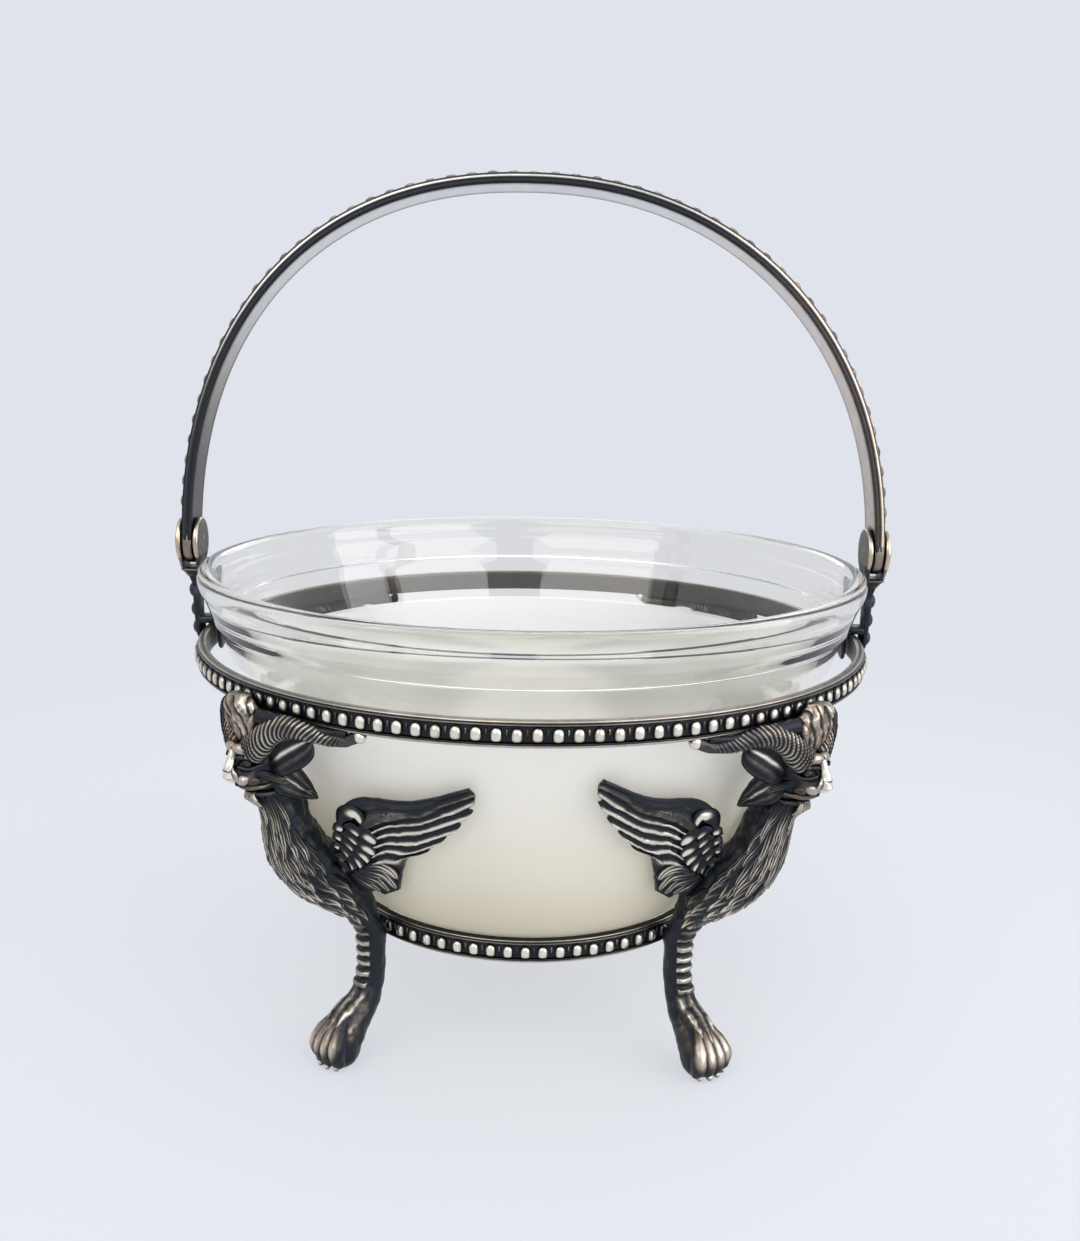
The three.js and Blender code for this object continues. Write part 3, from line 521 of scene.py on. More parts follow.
def bowl_profile():
    """Radii and heights from the middle of the base, up the outside, over the lip and down inside."""
    outside = bezier(SIDE, np.linspace(0, 1, 44))
    outside = outside[outside[:, 1] < NECK_HEIGHT - 0.6]
    inside = bezier(SIDE, np.linspace(1, 0, 36)) - [GLASS_WALL, 0]
    bottom = SEAT_HEIGHT - BASE_DROP
    floor_height = bottom + FLOOR_THICKNESS
    inside = inside[(inside[:, 1] > floor_height + 1.6) & (inside[:, 1] < NECK_HEIGHT)]
    foot = SEAT_RADIUS - BASE_INSET
    base = rounded([(0, bottom, 0), (foot, bottom, 1.2), (*outside[0], 1.4), (*outside[2], 0)], 5)
    lip = rounded(
        [
            (*outside[-1], 0),
            (NECK_RADIUS + 0.1, NECK_HEIGHT, 0.5),
            (NECK_RADIUS + COLLAR_STEP + 0.2, NECK_HEIGHT + 0.35, 0.5),
            (NECK_RADIUS + 1.6, NECK_HEIGHT + 2.4, 1.5),
            (RIM_RADIUS - 1.3, RIM_HEIGHT - 5.2, 2.0),
            (RIM_RADIUS, RIM_HEIGHT - 3.0, 1.2),
            (RIM_RADIUS, RIM_HEIGHT, 1.7),
            (RIM_RADIUS - 3.7, RIM_HEIGHT, 1.8),
            (RIM_RADIUS - 4.2, RIM_HEIGHT - 4.4, 2.0),
            (*inside[0], 2.0),
            (*inside[2], 0),
        ],
        6,
    )
    floor = rounded([(*inside[-1], 0), (foot + 1.8, floor_height, 2.4), (0, floor_height, 0)], 6)
    profile = np.array([*base[:-1], *outside[2:-1], *lip[:-1], *inside[2:-1], *floor])
    apart = np.linalg.norm(np.diff(profile, axis=0), axis=1) > 1e-4
    return profile[np.concatenate([[True], apart])]


def make_bowl():
    profile = bowl_profile()
    middle = profile[1:-1]
    count = len(middle)
    rings = lathe(middle, GLASS_SEGMENTS)
    points = np.vstack([rings.reshape(-1, 3), [0, 0, profile[0][1]], [0, 0, profile[-1][1]]])
    faces = grid_faces(count, GLASS_SEGMENTS, closed_columns=True)
    heights = np.repeat((middle[:-1, 1] + middle[1:, 1]) / 2, GLASS_SEGMENTS)
    slots = [0 if z > SATIN_TOP else 1 for z in heights]
    bottom_point, floor_point = count * GLASS_SEGMENTS, count * GLASS_SEGMENTS + 1
    last_ring = (count - 1) * GLASS_SEGMENTS
    for i in range(GLASS_SEGMENTS):
        after = (i + 1) % GLASS_SEGMENTS
        faces.append((bottom_point, after, i))
        faces.append((floor_point, last_ring + i, last_ring + after))
        slots += [1, 1]
    # The warmth marks the inner wall, which the satin glass paints darker as shade
    inner = np.arange(count) > np.argmax(middle[:, 1])
    shape = Shape().add(points, faces, warmth=[*np.repeat(inner, GLASS_SEGMENTS), 0, 1], slot=slots)
    mesh = shape.mesh("glass_bowl_blown", [clear_glass(), satin_glass()])
    place(mesh, "glass_bowl", "blown", "bowl", "glass")


# Rings and their beading

RING_SEGMENTS = 240


def make_ring(name, bore, height):
    outer = bore + RING_DEPTH
    half = RING_TALL / 2
    groove = outer - GROOVE_DEPTH
    groove_half = GROOVE_TALL / 2
    # Radius, height from the ring's middle, and relief
    section = [
        # The bore's low relief is a painted shade on the ring's inner face
        (bore, -half, 0.36),
        (outer - 0.55, -half, 0.5),
        (outer - 0.1, -half + 0.22, 0.74),
        (outer, -half + 0.5, 0.5),
        (outer - 0.22, -half + 0.68, 0.2),
        (outer - 0.05, -groove_half - 0.02, 0.52),
        (groove, -groove_half + 0.05, 0.05),
        (groove, groove_half - 0.05, 0.05),
        (outer - 0.05, groove_half + 0.02, 0.62),
        (outer - 0.1, groove_half + 0.24, 0.3),
        (outer - 0.3, groove_half + 0.34, 0.2),
        (outer - 0.32, half - 0.22, 0.66),
        (outer - 0.75, half, 0.5),
        (bore + 0.3, half, 0.58),
        (bore, half - 0.25, 0.4),
    ]
    profile = [
        lerp(np.array(here), np.array(after), t)
        for here, after in zip(section, [*section[1:], section[0]])
        for t in (0.12, 0.5, 0.88)
    ]
    radii, heights, relief = np.array(profile).T
    rings = lathe(np.stack([radii, height + heights], axis=-1), RING_SEGMENTS)
    faces = grid_faces(len(profile), RING_SEGMENTS, closed_rows=True, closed_columns=True)
    shape = Shape().add(rings, faces, np.repeat(relief, RING_SEGMENTS), 0.25)
    place(shape.mesh(name + "_moulded", [ring_silver]), name, "moulded", "frame", "ring_silver")


DROP_SIDES = 14
DROP_WIDTH, DROP_TALL, DROP_RISE = 2.1, 2.6, 0.93
# The rings of a drop, from its root in the strip: height over the strip, share of its width, and relief. The
# relief is dark patina at the root and brightest on the crown, partly wear and partly a painted highlight
DROP_RINGS = [(-0.35, 1.02, 0.0), (0.0, 1.0, 0.05)]
DROP_RINGS += [(0.36 * DROP_RISE, 0.97, 0.32), (0.68 * DROP_RISE, 0.82, 0.68)]
DROP_RINGS += [(0.9 * DROP_RISE, 0.55, 0.85), (0.985 * DROP_RISE, 0.22, 0.96)]


def drop(shape, origin, along, up, out, width, shade):
    """A bullet-shaped drop: flat foot, round top, domed face."""
    x, y = squared(np.cos(around(DROP_SIDES)), 0.82), np.sin(around(DROP_SIDES))
    y = np.where(y < 0, -np.abs(y) ** 0.45, y)
    rings = [
        origin
        + (x * width / 2 * spread)[:, None] * along
        + (y * DROP_TALL / 2 * spread)[:, None] * up
        + height * out
        for height, spread, _ in DROP_RINGS
    ]
    tube(shape, rings, np.array(DROP_RINGS)[:, 2:] + shade, 0.25)


def ring_frame(angle):
    """The directions along and out of a ring at an angle."""
    cos, sin = math.cos(angle), math.sin(angle)
    return np.array([-sin, cos, 0]), np.array([cos, sin, 0])


def make_ring_beading(name, bore, height, count):
    """Drops with a small upright dart between each pair, on a strip in the groove."""
    face = bore + RING_DEPTH - GROOVE_DEPTH + 0.65
    half = 1.35
    rng = np.random.default_rng(count)
    profile = [(face - 0.3, -half), (face - 0.02, -half), (face, -half + 0.1)]
    profile += [(r, -z) for r, z in profile[::-1]]
    rings = lathe([(r, height + z) for r, z in profile], RING_SEGMENTS)
    faces = grid_faces(len(profile), RING_SEGMENTS, closed_rows=True, closed_columns=True)
    shape = Shape().add(rings, faces, 0.04)
    for i in range(count):
        along, out = ring_frame((i + 0.5) / count * TURN)
        jitter = rng.normal(0, 0.03, 3)
        origin = out * face + Z * (height - 0.03 + jitter[0])
        drop(shape, origin, along, Z, out, DROP_WIDTH + jitter[1], rng.uniform(-0.08, 0.06))
        along, out = ring_frame(i / count * TURN)
        dart = [along * 0.3, Z * 0.75, out * 0.36]
        blob(shape, out * face + Z * (height + 0.35), dart, 8, 0.42 + rng.uniform(-0.06, 0.1), 0.6)
    place(shape.mesh(name + "_cast", [bead_silver]), name, "cast", "frame", "bead_silver")


# Handle, built upright about its pivots and leaned back

# How far the top of the arch stands off to the left
HANDLE_SKEW = 2.6
HANDLE_STEPS = 180
STEPS_PER_BEAD = 6
TONGUE_SIDES = 40
# Height and half width of the strip under the beads, above the strap's outside
STRIP_RISE, STRIP_HALF = 0.65, 2.3
lean = Matrix.Rotation(-math.radians(HANDLE_LEAN), 4, "X")
HANDLE_PLACE = Matrix.Translation((0, 0, PIVOT_HEIGHT * MM)) @ lean


def arch(angle, offset=0.0):
    """Points of the handle's outside, from the right pivot over the top to the left one."""
    power = 2 / HANDLE_SQUARENESS
    x = (STRAP_OUT + offset) * squared(np.cos(angle), power)
    z = (HANDLE_RISE + offset) * np.abs(np.sin(angle)) ** power
    return np.stack([x - HANDLE_SKEW * (z / HANDLE_RISE) ** 2, np.zeros_like(x), z], axis=-1)


def arch_frames(count, start, offset):
    """Evenly spaced points of the arch, with the directions along, across and out of it."""
    samples = arch(np.linspace(0, math.pi, 4001), offset)
    lengths = np.concatenate([[0], np.cumsum(np.linalg.norm(np.diff(samples, axis=0), axis=1))])
    wanted = start + (lengths[-1] - 2 * start) * np.linspace(0, 1, count)
    behind, origin, ahead = (
        np.stack([np.interp(wanted + step, lengths, column) for column in samples.T], axis=-1)
        for step in (-0.2, 0, 0.2)
    )
    along = normalised(ahead - behind)
    across = np.tile([0, -1.0, 0], (count, 1))
    return origin, along, across, np.cross(along, across)


def rings_about_x(rows, height, sides):
    """Rings about a line along X at a height, through rows of a place along X and a radius."""
    angle = around(sides)
    circles = [(np.full(sides, x), r * np.cos(angle), height + r * np.sin(angle)) for x, r in rows]
    return [np.stack(circle, axis=-1) for circle in circles]


def make_handle():
    half, thick = HANDLE_WIDTH / 2, STRAP_THICKNESS
    # Across the strap and down from its outside, with relief
    section = [
        (-half + 0.35, -thick + 0.02, 0.2),
        (-half * 0.8, -thick, 0.62),
        (-half * 0.5, -thick, 0.8),
        (half * 0.5, -thick, 0.8),
        (half * 0.8, -thick, 0.62),
        (half - 0.35, -thick + 0.02, 0.2),
        (half - 0.08, -thick + 0.2, 0.1),
        (half, -thick + 0.4, 0.04),
        (half - 0.02, -thick + 0.78, 0.02),
        (half - 0.2, -thick + 0.92, 0.0),
        (half - 0.03, -thick + 1.08, 0.12),
        (half, -thick + 1.35, 0.5),
        (half - 0.03, -0.4, 0.76),
        (half - 0.2, -0.24, 0.25),
        (half - 0.12, -0.05, 0.5),
        (half - 0.4, 0, 0.5),
        (half * 0.56, 0, 0.15),
    ]
    outline = [*section, *((-a, b, c) for a, b, c in section[:5:-1])]
    origin, _, across, out = arch_frames(HANDLE_STEPS, 0, 0)
    out[0], out[-1] = X, -X
    rings = np.stack([origin + across * a + out * b for a, b, _ in outline], axis=1)
    relief = np.tile([c for _, _, c in outline], (HANDLE_STEPS, 1))
    # Painted light and shade: the limbs are darker than the top, and the left one darker still
    top = np.clip(origin[:, 2] / HANDLE_RISE, 0, 1)
    limb_shade = 0.71 + 0.17 * np.sign(origin[:, 0])
    relief = relief * lerp(limb_shade, 1.1, smooth(top, 0.1, 0.8))[:, None]
    brown = (smooth(origin[:, 0], 15, 60) * smooth(top, 1.0, 0.85))[:, None]
    relief = lerp(relief, 0.3 + 0.6 * relief, brown)
    shape = Shape()
    capped_tube(shape, rings[:, ::-1], relief[:, ::-1], 0.1 + 0.9 * brown + 0 * relief)
    half_thick = thick / 2
    edge = [(half_thick, half - 0.4), (half_thick - 0.15, half - 0.08), (half_thick - 0.5, half)]
    for side in (-1, 1):
        centre = (STRAP_IN + STRAP_OUT) / 2 * side
        rows = [(centre - x, r) for x, r in edge] + [(centre + x, r) for x, r in edge[::-1]]
        tube(shape, rings_about_x(rows, 0, TONGUE_SIDES), 0.56, 1.0)
    mesh = shape.mesh("handle_strap_smooth", [handle_silver])
    place(mesh, "handle_strap", "smooth", "handle", "handle_silver", HANDLE_PLACE)


def make_handle_beading():
    """Domed drops on a strip that follows the strap's outside."""
    count = HANDLE_BEADS * STEPS_PER_BEAD + 1
    origin, along, across, out = arch_frames(count, HANDLE_BEADING_START, STRIP_RISE)
    section = [(-STRIP_HALF, -0.33), (-STRIP_HALF, -0.08), (-STRIP_HALF + 0.12, 0)]
    section += [(-a, b) for a, b in section[::-1]]
    rings = np.stack([origin + across * a + out * b for a, b in section], axis=1)[:, ::-1]
    shape = Shape()
    capped_tube(shape, rings, 0.12)
    rng = np.random.default_rng(5)
    for k in range(STEPS_PER_BEAD // 2, count, STEPS_PER_BEAD):
        axes = [along[k] * 1.62, across[k] * 1.75, out[k] * (1.1 + rng.normal(0, 0.02))]
        blob(shape, origin[k] - out[k] * 0.25, axes, 16, 0.58 + rng.uniform(-0.08, 0.1), 0.3)
    mesh = shape.mesh("handle_beading_cast", [bead_silver])
    place(mesh, "handle_beading", "cast", "handle", "bead_silver", HANDLE_PLACE)


# Brackets and pivot pins, built on the +X side. The others are the same, turned about the bowl's axis.

BAR_SIDES, DISC_SIDES = 36, 56
# The fork's two cheeks: width and height of their sections, and x from and to of each
CHEEK_SECTIONS = [(7.8, 98), (7.1, 96.5), (6.4, 95.3), (5.8, 94.6), (4.8, 93)]
INNER_CHEEK = [(70.6, 71.7), (70.65, 71.7), (70.75, 71.7), (70.9, 71.7), (71.1, 72.8)]
OUTER_CHEEK = [(74.3, 75.35), (74.3, 75.15), (74.3, 74.95), (74.3, 74.8), (72.1, 73.7)]
# Sections of the fork's root with its small moulding, of the arm, of the saddle on the ring and of the foot
# behind it: x from and to, width and height
FORK_ROOT = [
    (70.9, 74.7, 5.8, 94.75),
    (70.85, 75.0, 6.4, 94.6),
    (70.85, 75.0, 6.4, 94.3),
    (71, 74.3, 5.6, 94.0),
    (71.1, 73.6, 4.7, 93),
    (71.25, 73, 3.8, 91.3),
    (71.3, 72.9, 3.7, 90.6),
]
FORK_ROOT_RELIEF = np.array([0.3, 0.45, 0.4, 0.15, 0.16, 0.2, 0.2])[:, None]
ARM = [
    (71.3, 72.95, 3.7, 91.2),
    (71.3, 72.9, 3.9, 88),
    (ARM_IN, 72.6, 4.5, 84),
    (ARM_IN, 72.3, ARM_WIDTH, 80.4),
    (ARM_IN + 0.1, 72, ARM_WIDTH - 0.6, 79.5),
]
SADDLE = [
    (FOOT_IN, ARM_IN + 0.8, ARM_WIDTH, 82.72),
    (FOOT_IN, ARM_IN + 0.8, ARM_WIDTH, 83.8),
    (FOOT_IN + 0.2, ARM_IN + 0.5, ARM_WIDTH - 0.4, 84.1),
]
FOOT = [
    (FOOT_IN + 0.3, FOOT_IN + 0.8, 1.5, 76.85),
    (FOOT_IN + 0.05, FOOT_IN + 0.95, 3.6, 77.6),
    (FOOT_IN, FOOT_IN + 1, ARM_WIDTH, 79.4),
    (FOOT_IN, FOOT_IN + 1, ARM_WIDTH, 84),
]
# Places of the three large beads on the arm: x and height
ARM_BEADS = [(72.6, 89.7), (72.6 - 0.27, 85.6), (72.6 - 0.27 * 2, 81.6)]


def bar(shape, stations, relief, warmth=0.2):
    """An upright bar with rounded corners, through sections given as x from and to, width and height."""
    angle = around(BAR_SIDES)
    cos, sin = squared(np.cos(angle), 0.4), squared(np.sin(angle), 0.4)
    low, high, width, height = np.array(stations).T[..., None]
    x = (low + high) / 2 + (high - low) / 2 * cos
    tube(shape, np.stack([x, width / 2 * sin, height + 0 * cos], axis=-1), relief, warmth)


def disc(shape, low, high, radius, ease, face, rim, warmth=0.3):
    """A disc about the pivots' line, from low to high along X, with eased edges. face and rim are reliefs."""
    edge = [(0, 3, face), (0, 1, face), (0.3, 0.3, rim), (1, 0, rim)]
    rows = [(low + ease * deep, radius - inset * ease) for deep, inset, _ in edge]
    rows += [(high - ease * deep, radius - inset * ease) for deep, inset, _ in edge[::-1]]
    shades = [shade for _, _, shade in [*edge, *edge[::-1]]]
    tube(shape, rings_about_x(rows, PIVOT_HEIGHT, DISC_SIDES), np.array(shades)[:, None], warmth)


def make_brackets():
    shape, pin = Shape(), Shape()
    disc(shape, CHEEK_IN, STRAP_IN - RUNNING_GAP, HEAD_RADIUS, 0.3, 0.45, 0.7)
    disc(shape, STRAP_OUT + RUNNING_GAP, CHEEK_OUT, HEAD_RADIUS, 0.3, 0.4, 0.74, 0.8)
    bar(shape, np.hstack([INNER_CHEEK, CHEEK_SECTIONS]), 0.35)
    bar(shape, np.hstack([OUTER_CHEEK, CHEEK_SECTIONS]), 0.5, 0.6)
    bar(shape, FORK_ROOT, FORK_ROOT_RELIEF)
    bar(shape, ARM, 0.24)
    bar(shape, SADDLE, 0.3)
    bar(shape, FOOT, 0.16)
    for x, height in ARM_BEADS:
        blob(shape, (x, 0, height), [X * 1.35, Y * 1.8, Z * 1.75], 20, 0.34, 0.2)
    shape.points = [uneven(points, 0.04, 1.3, (1, 2, 3)) for points in shape.points]
    disc(pin, CHEEK_IN, CHEEK_OUT + 0.4, PIN_RADIUS, 0.15, 0.6, 0.4)
    disc(pin, CHEEK_OUT + 0.3, PIN_END, PIN_HEAD_RADIUS, 0.4, 0.8, 0.6)
    forked = shape.mesh("bracket_forked", [bracket_silver])
    domed = pin.mesh("pivot_pin_domed", [bracket_silver])
    for hand, turn in (("right", 0), ("left", math.pi)):
        turned = Matrix.Rotation(turn, 4, "Z")
        place(forked, "bracket_" + hand, "forked", "frame", "bracket_silver", turned)
        place(domed, "pivot_pin_" + hand, "domed", "frame", "bracket_silver", turned)


# Griffins. Level is -1 on the floor, 0 at the lower ring and 1 at the upper ring. Offset is measured
# outwards from the line between the rings' faces. Each griffin is built with its plane along +X.

# From the sole to the crown: front offset and level, back offset and level, half width
BODY = [
    (14.2, -1, 9.6, -1, 2.6),
    (15.5, -0.94, 8.4, -0.95, 3.6),
    (16.1, -0.77, 7.4, -0.87, 3.9),
    (13, -0.59, 5, -0.73, 3.5),
    (8.5, -0.47, 2.6, -0.6, 2.7),
    (6.6, -0.31, 1.1, -0.36, 2.6),
    (6.6, -0.08, 0.9, -0.1, 2.8),
    (7, 0.08, 0.6, 0.07, 3.5),
    (10.8, 0.16, -1, 0.22, 4.6),
    (14, 0.25, -0.6, 0.34, 5.2),
    (15, 0.36, 0.8, 0.41, 5.2),
    (13.5, 0.46, 2.3, 0.46, 4.6),
    (11.2, 0.56, 2.0, 0.55, 3.5),
    (10.3, 0.66, 1.2, 0.64, 3.2),
    (12.3, 0.705, 0.9, 0.69, 3),
    (13, 0.745, -0.8, 0.76, 3.4),
    (9.2, 0.8, -2, 0.82, 4),
    (7.4, 0.86, -2.2, 0.88, 4.6),
    (6.2, 0.93, -0.4, 0.93, 5.0),
    (5.2, 0.985, 1.1, 0.985, 4.6),
    (3.7, 1.02, 0.6, 1.02, 2.4),
]
BODY_SPANS = len(BODY) - 1
BODY_ROWS, BODY_SIDES = 360, 104
SCUTE_PITCH = 2.2
# Degrees by which a leg is twisted, and the levels where the twist is full and where it ends
TWISTS = {"front_right": -10}
TWIST_FULL, TWIST_END = 0.3, 0.66
# Least height of any point over the floor
SOLE_HEIGHT = 0.02
# On the side away from a viewer in front, the horn is bent in and darkened
BENT_SIDE, BENT_SHARE, BENT_FROM, BENT_FULL = 2.5, 0.5, 66, 71


def leg_point(offset, side, level):
    offset, side, level = alike(offset, side, level)
    low, high = LOWER_RING_BORE + RING_DEPTH, UPPER_RING_BORE + RING_DEPTH
    above = lerp(LOWER_RING_HEIGHT, UPPER_RING_HEIGHT, level)
    height = np.where(level < 0, LOWER_RING_HEIGHT * (1 + level), above)
    return np.stack([lerp(low, high, np.maximum(level, 0)) + offset, side, height], axis=-1)


def leg_path(points, side=1):
    """Points given as offset, side and level, on one side of the griffin."""
    offset, across, level = np.array(points, float).T
    return leg_point(offset, side * across, level)


def body_point(row, angle, lift=0.0):
    """A point on the griffin's skin: row from 0 at the sole to BODY_SPANS at the crown, angle 0 in front."""
    row, angle, lift = alike(row, angle, lift)
    values = spline(BODY, np.clip(row.reshape(-1) / BODY_SPANS, 0, 1))
    front = leg_point(values[:, 0], 0, values[:, 1])
    back = leg_point(values[:, 2], 0, values[:, 3])
    centre, forward = (front + back) / 2, (front - back) / 2
    cos, sin, raised = np.cos(angle.reshape(-1)), np.sin(angle.reshape(-1)), lift.reshape(-1)
    depth = np.linalg.norm(forward, axis=1) * squared(cos, 0.92) + raised * cos
    point = centre + normalised(forward) * depth[:, None]
    point += Y * (values[:, 4] * squared(sin, 0.92) + raised * sin)[:, None]
    return point.reshape(*row.shape, 3)


def griffin_skin(shape):
    """The skin from the sole to the crown. Rows count the sections of the body: the ankle lies about 3,
    the shin's scutes from 4 to 7.5, the breast about 10, the mouth at 13.4 and the eyes at 15.7."""
    row = np.linspace(0, BODY_SPANS, BODY_ROWS)[:, None]
    angle = around(BODY_SIDES)[None, :] - math.pi
    bare = body_point(row, angle)
    turned = np.degrees(np.abs(angle))
    coarse, fine = clumps(bare, 1.7, 3), clumps(bare, 0.75, 8)
    lift = 0.1 * coarse
    relief = 0.2 + 0.06 * coarse
    scutes = smooth(row, 4.1, 4.5) * smooth(row, 7.5, 7.1) * smooth(turned, 50, 40)
    phase = bare[..., 2] / SCUTE_PITCH * TURN - 0.9 * np.abs(angle) + 0.5 * coarse
    scute = 0.5 + 0.5 * np.tanh(2.6 * np.cos(phase))
    lift += scutes * (0.5 * scute - 0.12)
    relief = lerp(relief, 0.06 + (0.26 + 0.42 * bump(row, 5.6, 1.5)) * scute, scutes)
    ankle = smooth(row, 1.4, 2.8) * smooth(row, 4.6, 4.0) * smooth(turned, 110, 70)
    tendon = 0.5 + 0.5 * np.cos(TURN * bare[..., 1] / 1.9)
    lift += ankle * 0.35 * (tendon - 0.5)
    relief += ankle * (0.12 + 0.28 * tendon + 0.15 * fine)
    muscle = smooth(row, 6.8, 7.6) * smooth(row, 11.6, 10.4)
    lift += muscle * 0.3 * coarse
    relief += muscle * 0.08 * fine
    # Bumps and lighter specks on the side of the nape; the specks are a painted sheen
    nape_bumps_and_sheen = smooth(row, 10.4, 11.4) * smooth(row, 14, 13) * smooth(turned, 40, 70)
    lift += nape_bumps_and_sheen * (0.3 * coarse + 0.1 * fine)
    relief += nape_bumps_and_sheen * (0.06 + 0.14 * fine)
    mouth = bump(row, 13.37, 0.13) * smooth(turned, 105, 80)
    socket = bump(row, 15.72, 0.42) * bump(turned, 46, 24)
    lift = lift - 1.0 * mouth - 1.1 * socket
    muzzle = bump(row, 14.4, 0.75) * smooth(turned, 85, 50)
    relief += muzzle * (0.42 + 0.12 * fine)
    cheek = bump(row, 14.3, 0.8) * bump(turned, 88, 24)
    relief += cheek * (0.12 + 0.2 * fine)
    face = smooth(row, 16.1, 16.5) * smooth(turned, 135, 100)
    fold = bare[..., 1] + 0.35 * bare[..., 2] + 1.1 * clumps(bare, 3.4, 6) + 0.3 * coarse
    crease = bump(np.mod(fold, 2.3) - 1.15, 0, 0.3)
    lift += face * (0.25 * coarse + 0.15 * fine - 0.32 * crease)
    relief = lerp(relief, 0.68 + 0.1 * coarse + 0.14 * fine - 0.34 * crease, face)
    relief = relief * (1 - 0.85 * np.maximum(mouth, socket))
    tube(shape, body_point(row, angle, lift), relief, 0.15 + 0.85 * face + 0.3 * ankle)


def closed_sheet(shape, top, under, relief, warmth=0.0):
    """Two grids of equal size as the faces of a thin closed sheet."""
    rows, columns = top.shape[:2]
    shift = rows * columns
    grid = np.arange(shift).reshape(rows, columns)
    upper = grid_faces(rows, columns)
    faces = upper + [tuple(i + shift for i in face[::-1]) for face in upper]
    border = np.concatenate([grid[0], grid[1:, -1], grid[-1, -2::-1], grid[-2:0:-1, 0]]).tolist()
    faces += [(b, a, a + shift, b + shift) for a, b in zip(border, border[1:] + border[:1])]
    shade = np.concatenate([relief.ravel(), np.full(shift, 0.1)])
    shape.add([top, under], faces, shade, warmth)


def plume(shape, path, up, width, dome, lift, lines, barbs, blunt, relief, warmth, sink=0.5, tipped=0.0):
    """A feather or a lock on a surface: it follows the path, and up gives the surface's normals.
    lines counts the grooves along each half of it, barbs the slanting ones. blunt is the share of its
    length before it narrows, and tipped is 1 where only its tip is bright."""
    u = np.linspace(0, 1, 20)
    spine, up = spline(path, u), normalised(spline(up, u))
    across = normalised(np.cross(up, normalised(np.gradient(spine, axis=0))))
    u = u[:, None]
    v = np.linspace(-1, 1, 11)[None, :]
    swell = 0.45 + 0.55 * smooth(u, 0, 0.35)
    close = np.sqrt(np.clip(1 - (np.clip(u - blunt, 0, 1) / (1 - blunt)) ** 2, 0, 1)) + 0.02
    half = width / 2 * swell * close
    groove = 0.5 + 0.5 * np.cos(TURN * (lines * np.abs(v) + barbs * (u - 0.25 * np.abs(v))))
    edge = 1 - np.abs(v) ** 4
    height = lift + dome * (1 - v**2) * (0.45 + 0.55 * u) + 0.16 * (groove - 0.5) * edge
    flat = spine[:, None] + across[:, None] * (half * v)[..., None]
    top = flat + up[:, None] * height[..., None]
    under = flat - up[:, None] * sink
    along = lerp(0.3 + 0.75 * smooth(u, 0, 0.8), 0.12 + smooth(u, 0.3, 0.9), tipped)
    shade = relief * along * (0.3 + 0.75 * groove) * edge
    closed_sheet(shape, top, under, shade, warmth)


def leaf(shape, root, tip, width, thick, outline, bend=(0, 0, 0), relief=0.2, trough_highlight=0.3):
    """A free leaf such as an ear. outline gives its fullness at shares of its length, and the streak down its
    hollow is a painted highlight.
    """
    along = tip - root
    level = normalised(np.cross(Z, along))
    wide = normalised(np.cross(level, along))
    u = np.linspace(0, 1, 30)
    v = np.linspace(-1, 1, 15)[None, :]
    full = spline(outline, u)[:, 0] * np.sqrt(1 - np.clip((u - 0.88) / 0.121, 0, 1) ** 2)
    half = width / 2 * full + 0.03
    centre = root + along * u[:, None] + np.asarray(bend, float) * (4 * u * (1 - u))[:, None]
    vein = np.cos(np.abs(v) * math.pi * 4) * (1 - np.abs(v) ** 4)
    trough = bump(v, 0, 0.42) * np.sin(math.pi * np.clip(u[:, None], 0, 1)) ** 0.5
    crown = np.sqrt(np.clip(1 - v**2, 0, 1)) * full[:, None]
    height = thick / 2 * crown + 0.09 * vein * full[:, None] - 0.45 * trough
    across = wide * (half[:, None] * v)[..., None]
    top = centre[:, None] + across + level * height[..., None]
    under = centre[:, None] + across - level * height[..., None]
    veins = 0.34 * vein * smooth(u, 0, 0.4)[:, None]
    # The streak brightens the hollow of the trough: a painted highlight
    shade = relief + trough_highlight * bump(v, 0, 0.3) * trough + veins + 0.16 * bump(np.abs(v), 0.92, 0.12)
    rings = np.concatenate([top, np.flip(under, 1)[:, 1:-1]], axis=1)
    both = np.concatenate([shade, np.flip(shade, 1)[:, 1:-1]], axis=1)
    tube(shape, rings, both)


STRAND_STEPS = 28


def strand(shape, points, side, radii, relief, warmth=0.2, sides=14):
    """A rounded ridge or lock of the head, through offsets, sides and levels."""
    u = np.linspace(0, 1, STRAND_STEPS)
    radii = np.interp(u, np.linspace(0, 1, len(radii)), radii)
    sweep(shape, spline(leg_path(points, side), u), radii, sides, relief=relief, warmth=warmth)


HORN = [
    (6.9, 2.0, 0.828),
    (5.8, 4.0, 0.86),
    (4.4, 6.8, 0.905),
    (2.6, 10.4, 0.94),
    (1.3, 14.2, 0.944),
    (0, 17.8, 0.928),
    (-1.9, 21.2, 0.924),
    (-3.8, 24.4, 0.945),
]
# Radius of the horn at shares of its length
HORN_RADII = ([0, 0.14, 0.35, 0.6, 0.85, 1], [2.5, 2.55, 2.2, 1.6, 1.15, 1.0])
HORN_RINGS = 29
HORN_STEPS, HORN_SIDES = 190, 28
# A dark strand between the horn and the ring, a painted shadow where the ring's underside is in shade
HORN_SHADOW_WEB = [(3.4, 5.2, 0.962), (2.6, 8.8, 0.96), (1.3, 13.6, 0.957), (-0.3, 17.6, 0.947), (-2.6, 22.4, 0.95)]


def horn_ridge(share, angle):
    """The horn's rings, which slant about it: from 0 in a groove to 1 on a ridge."""
    slant = lerp(1.9, 1.15, smooth(share, 0, 0.4))
    wave = np.cos(TURN * (share**1.25 * HORN_RINGS - slant * np.sin(angle)))
    return (0.5 + 0.5 * wave) ** 0.7


def horn_swell(share, angle):
    return 1 + 0.15 * (horn_ridge(share, angle) - 0.6) * smooth(share, 0.88, 0.7)


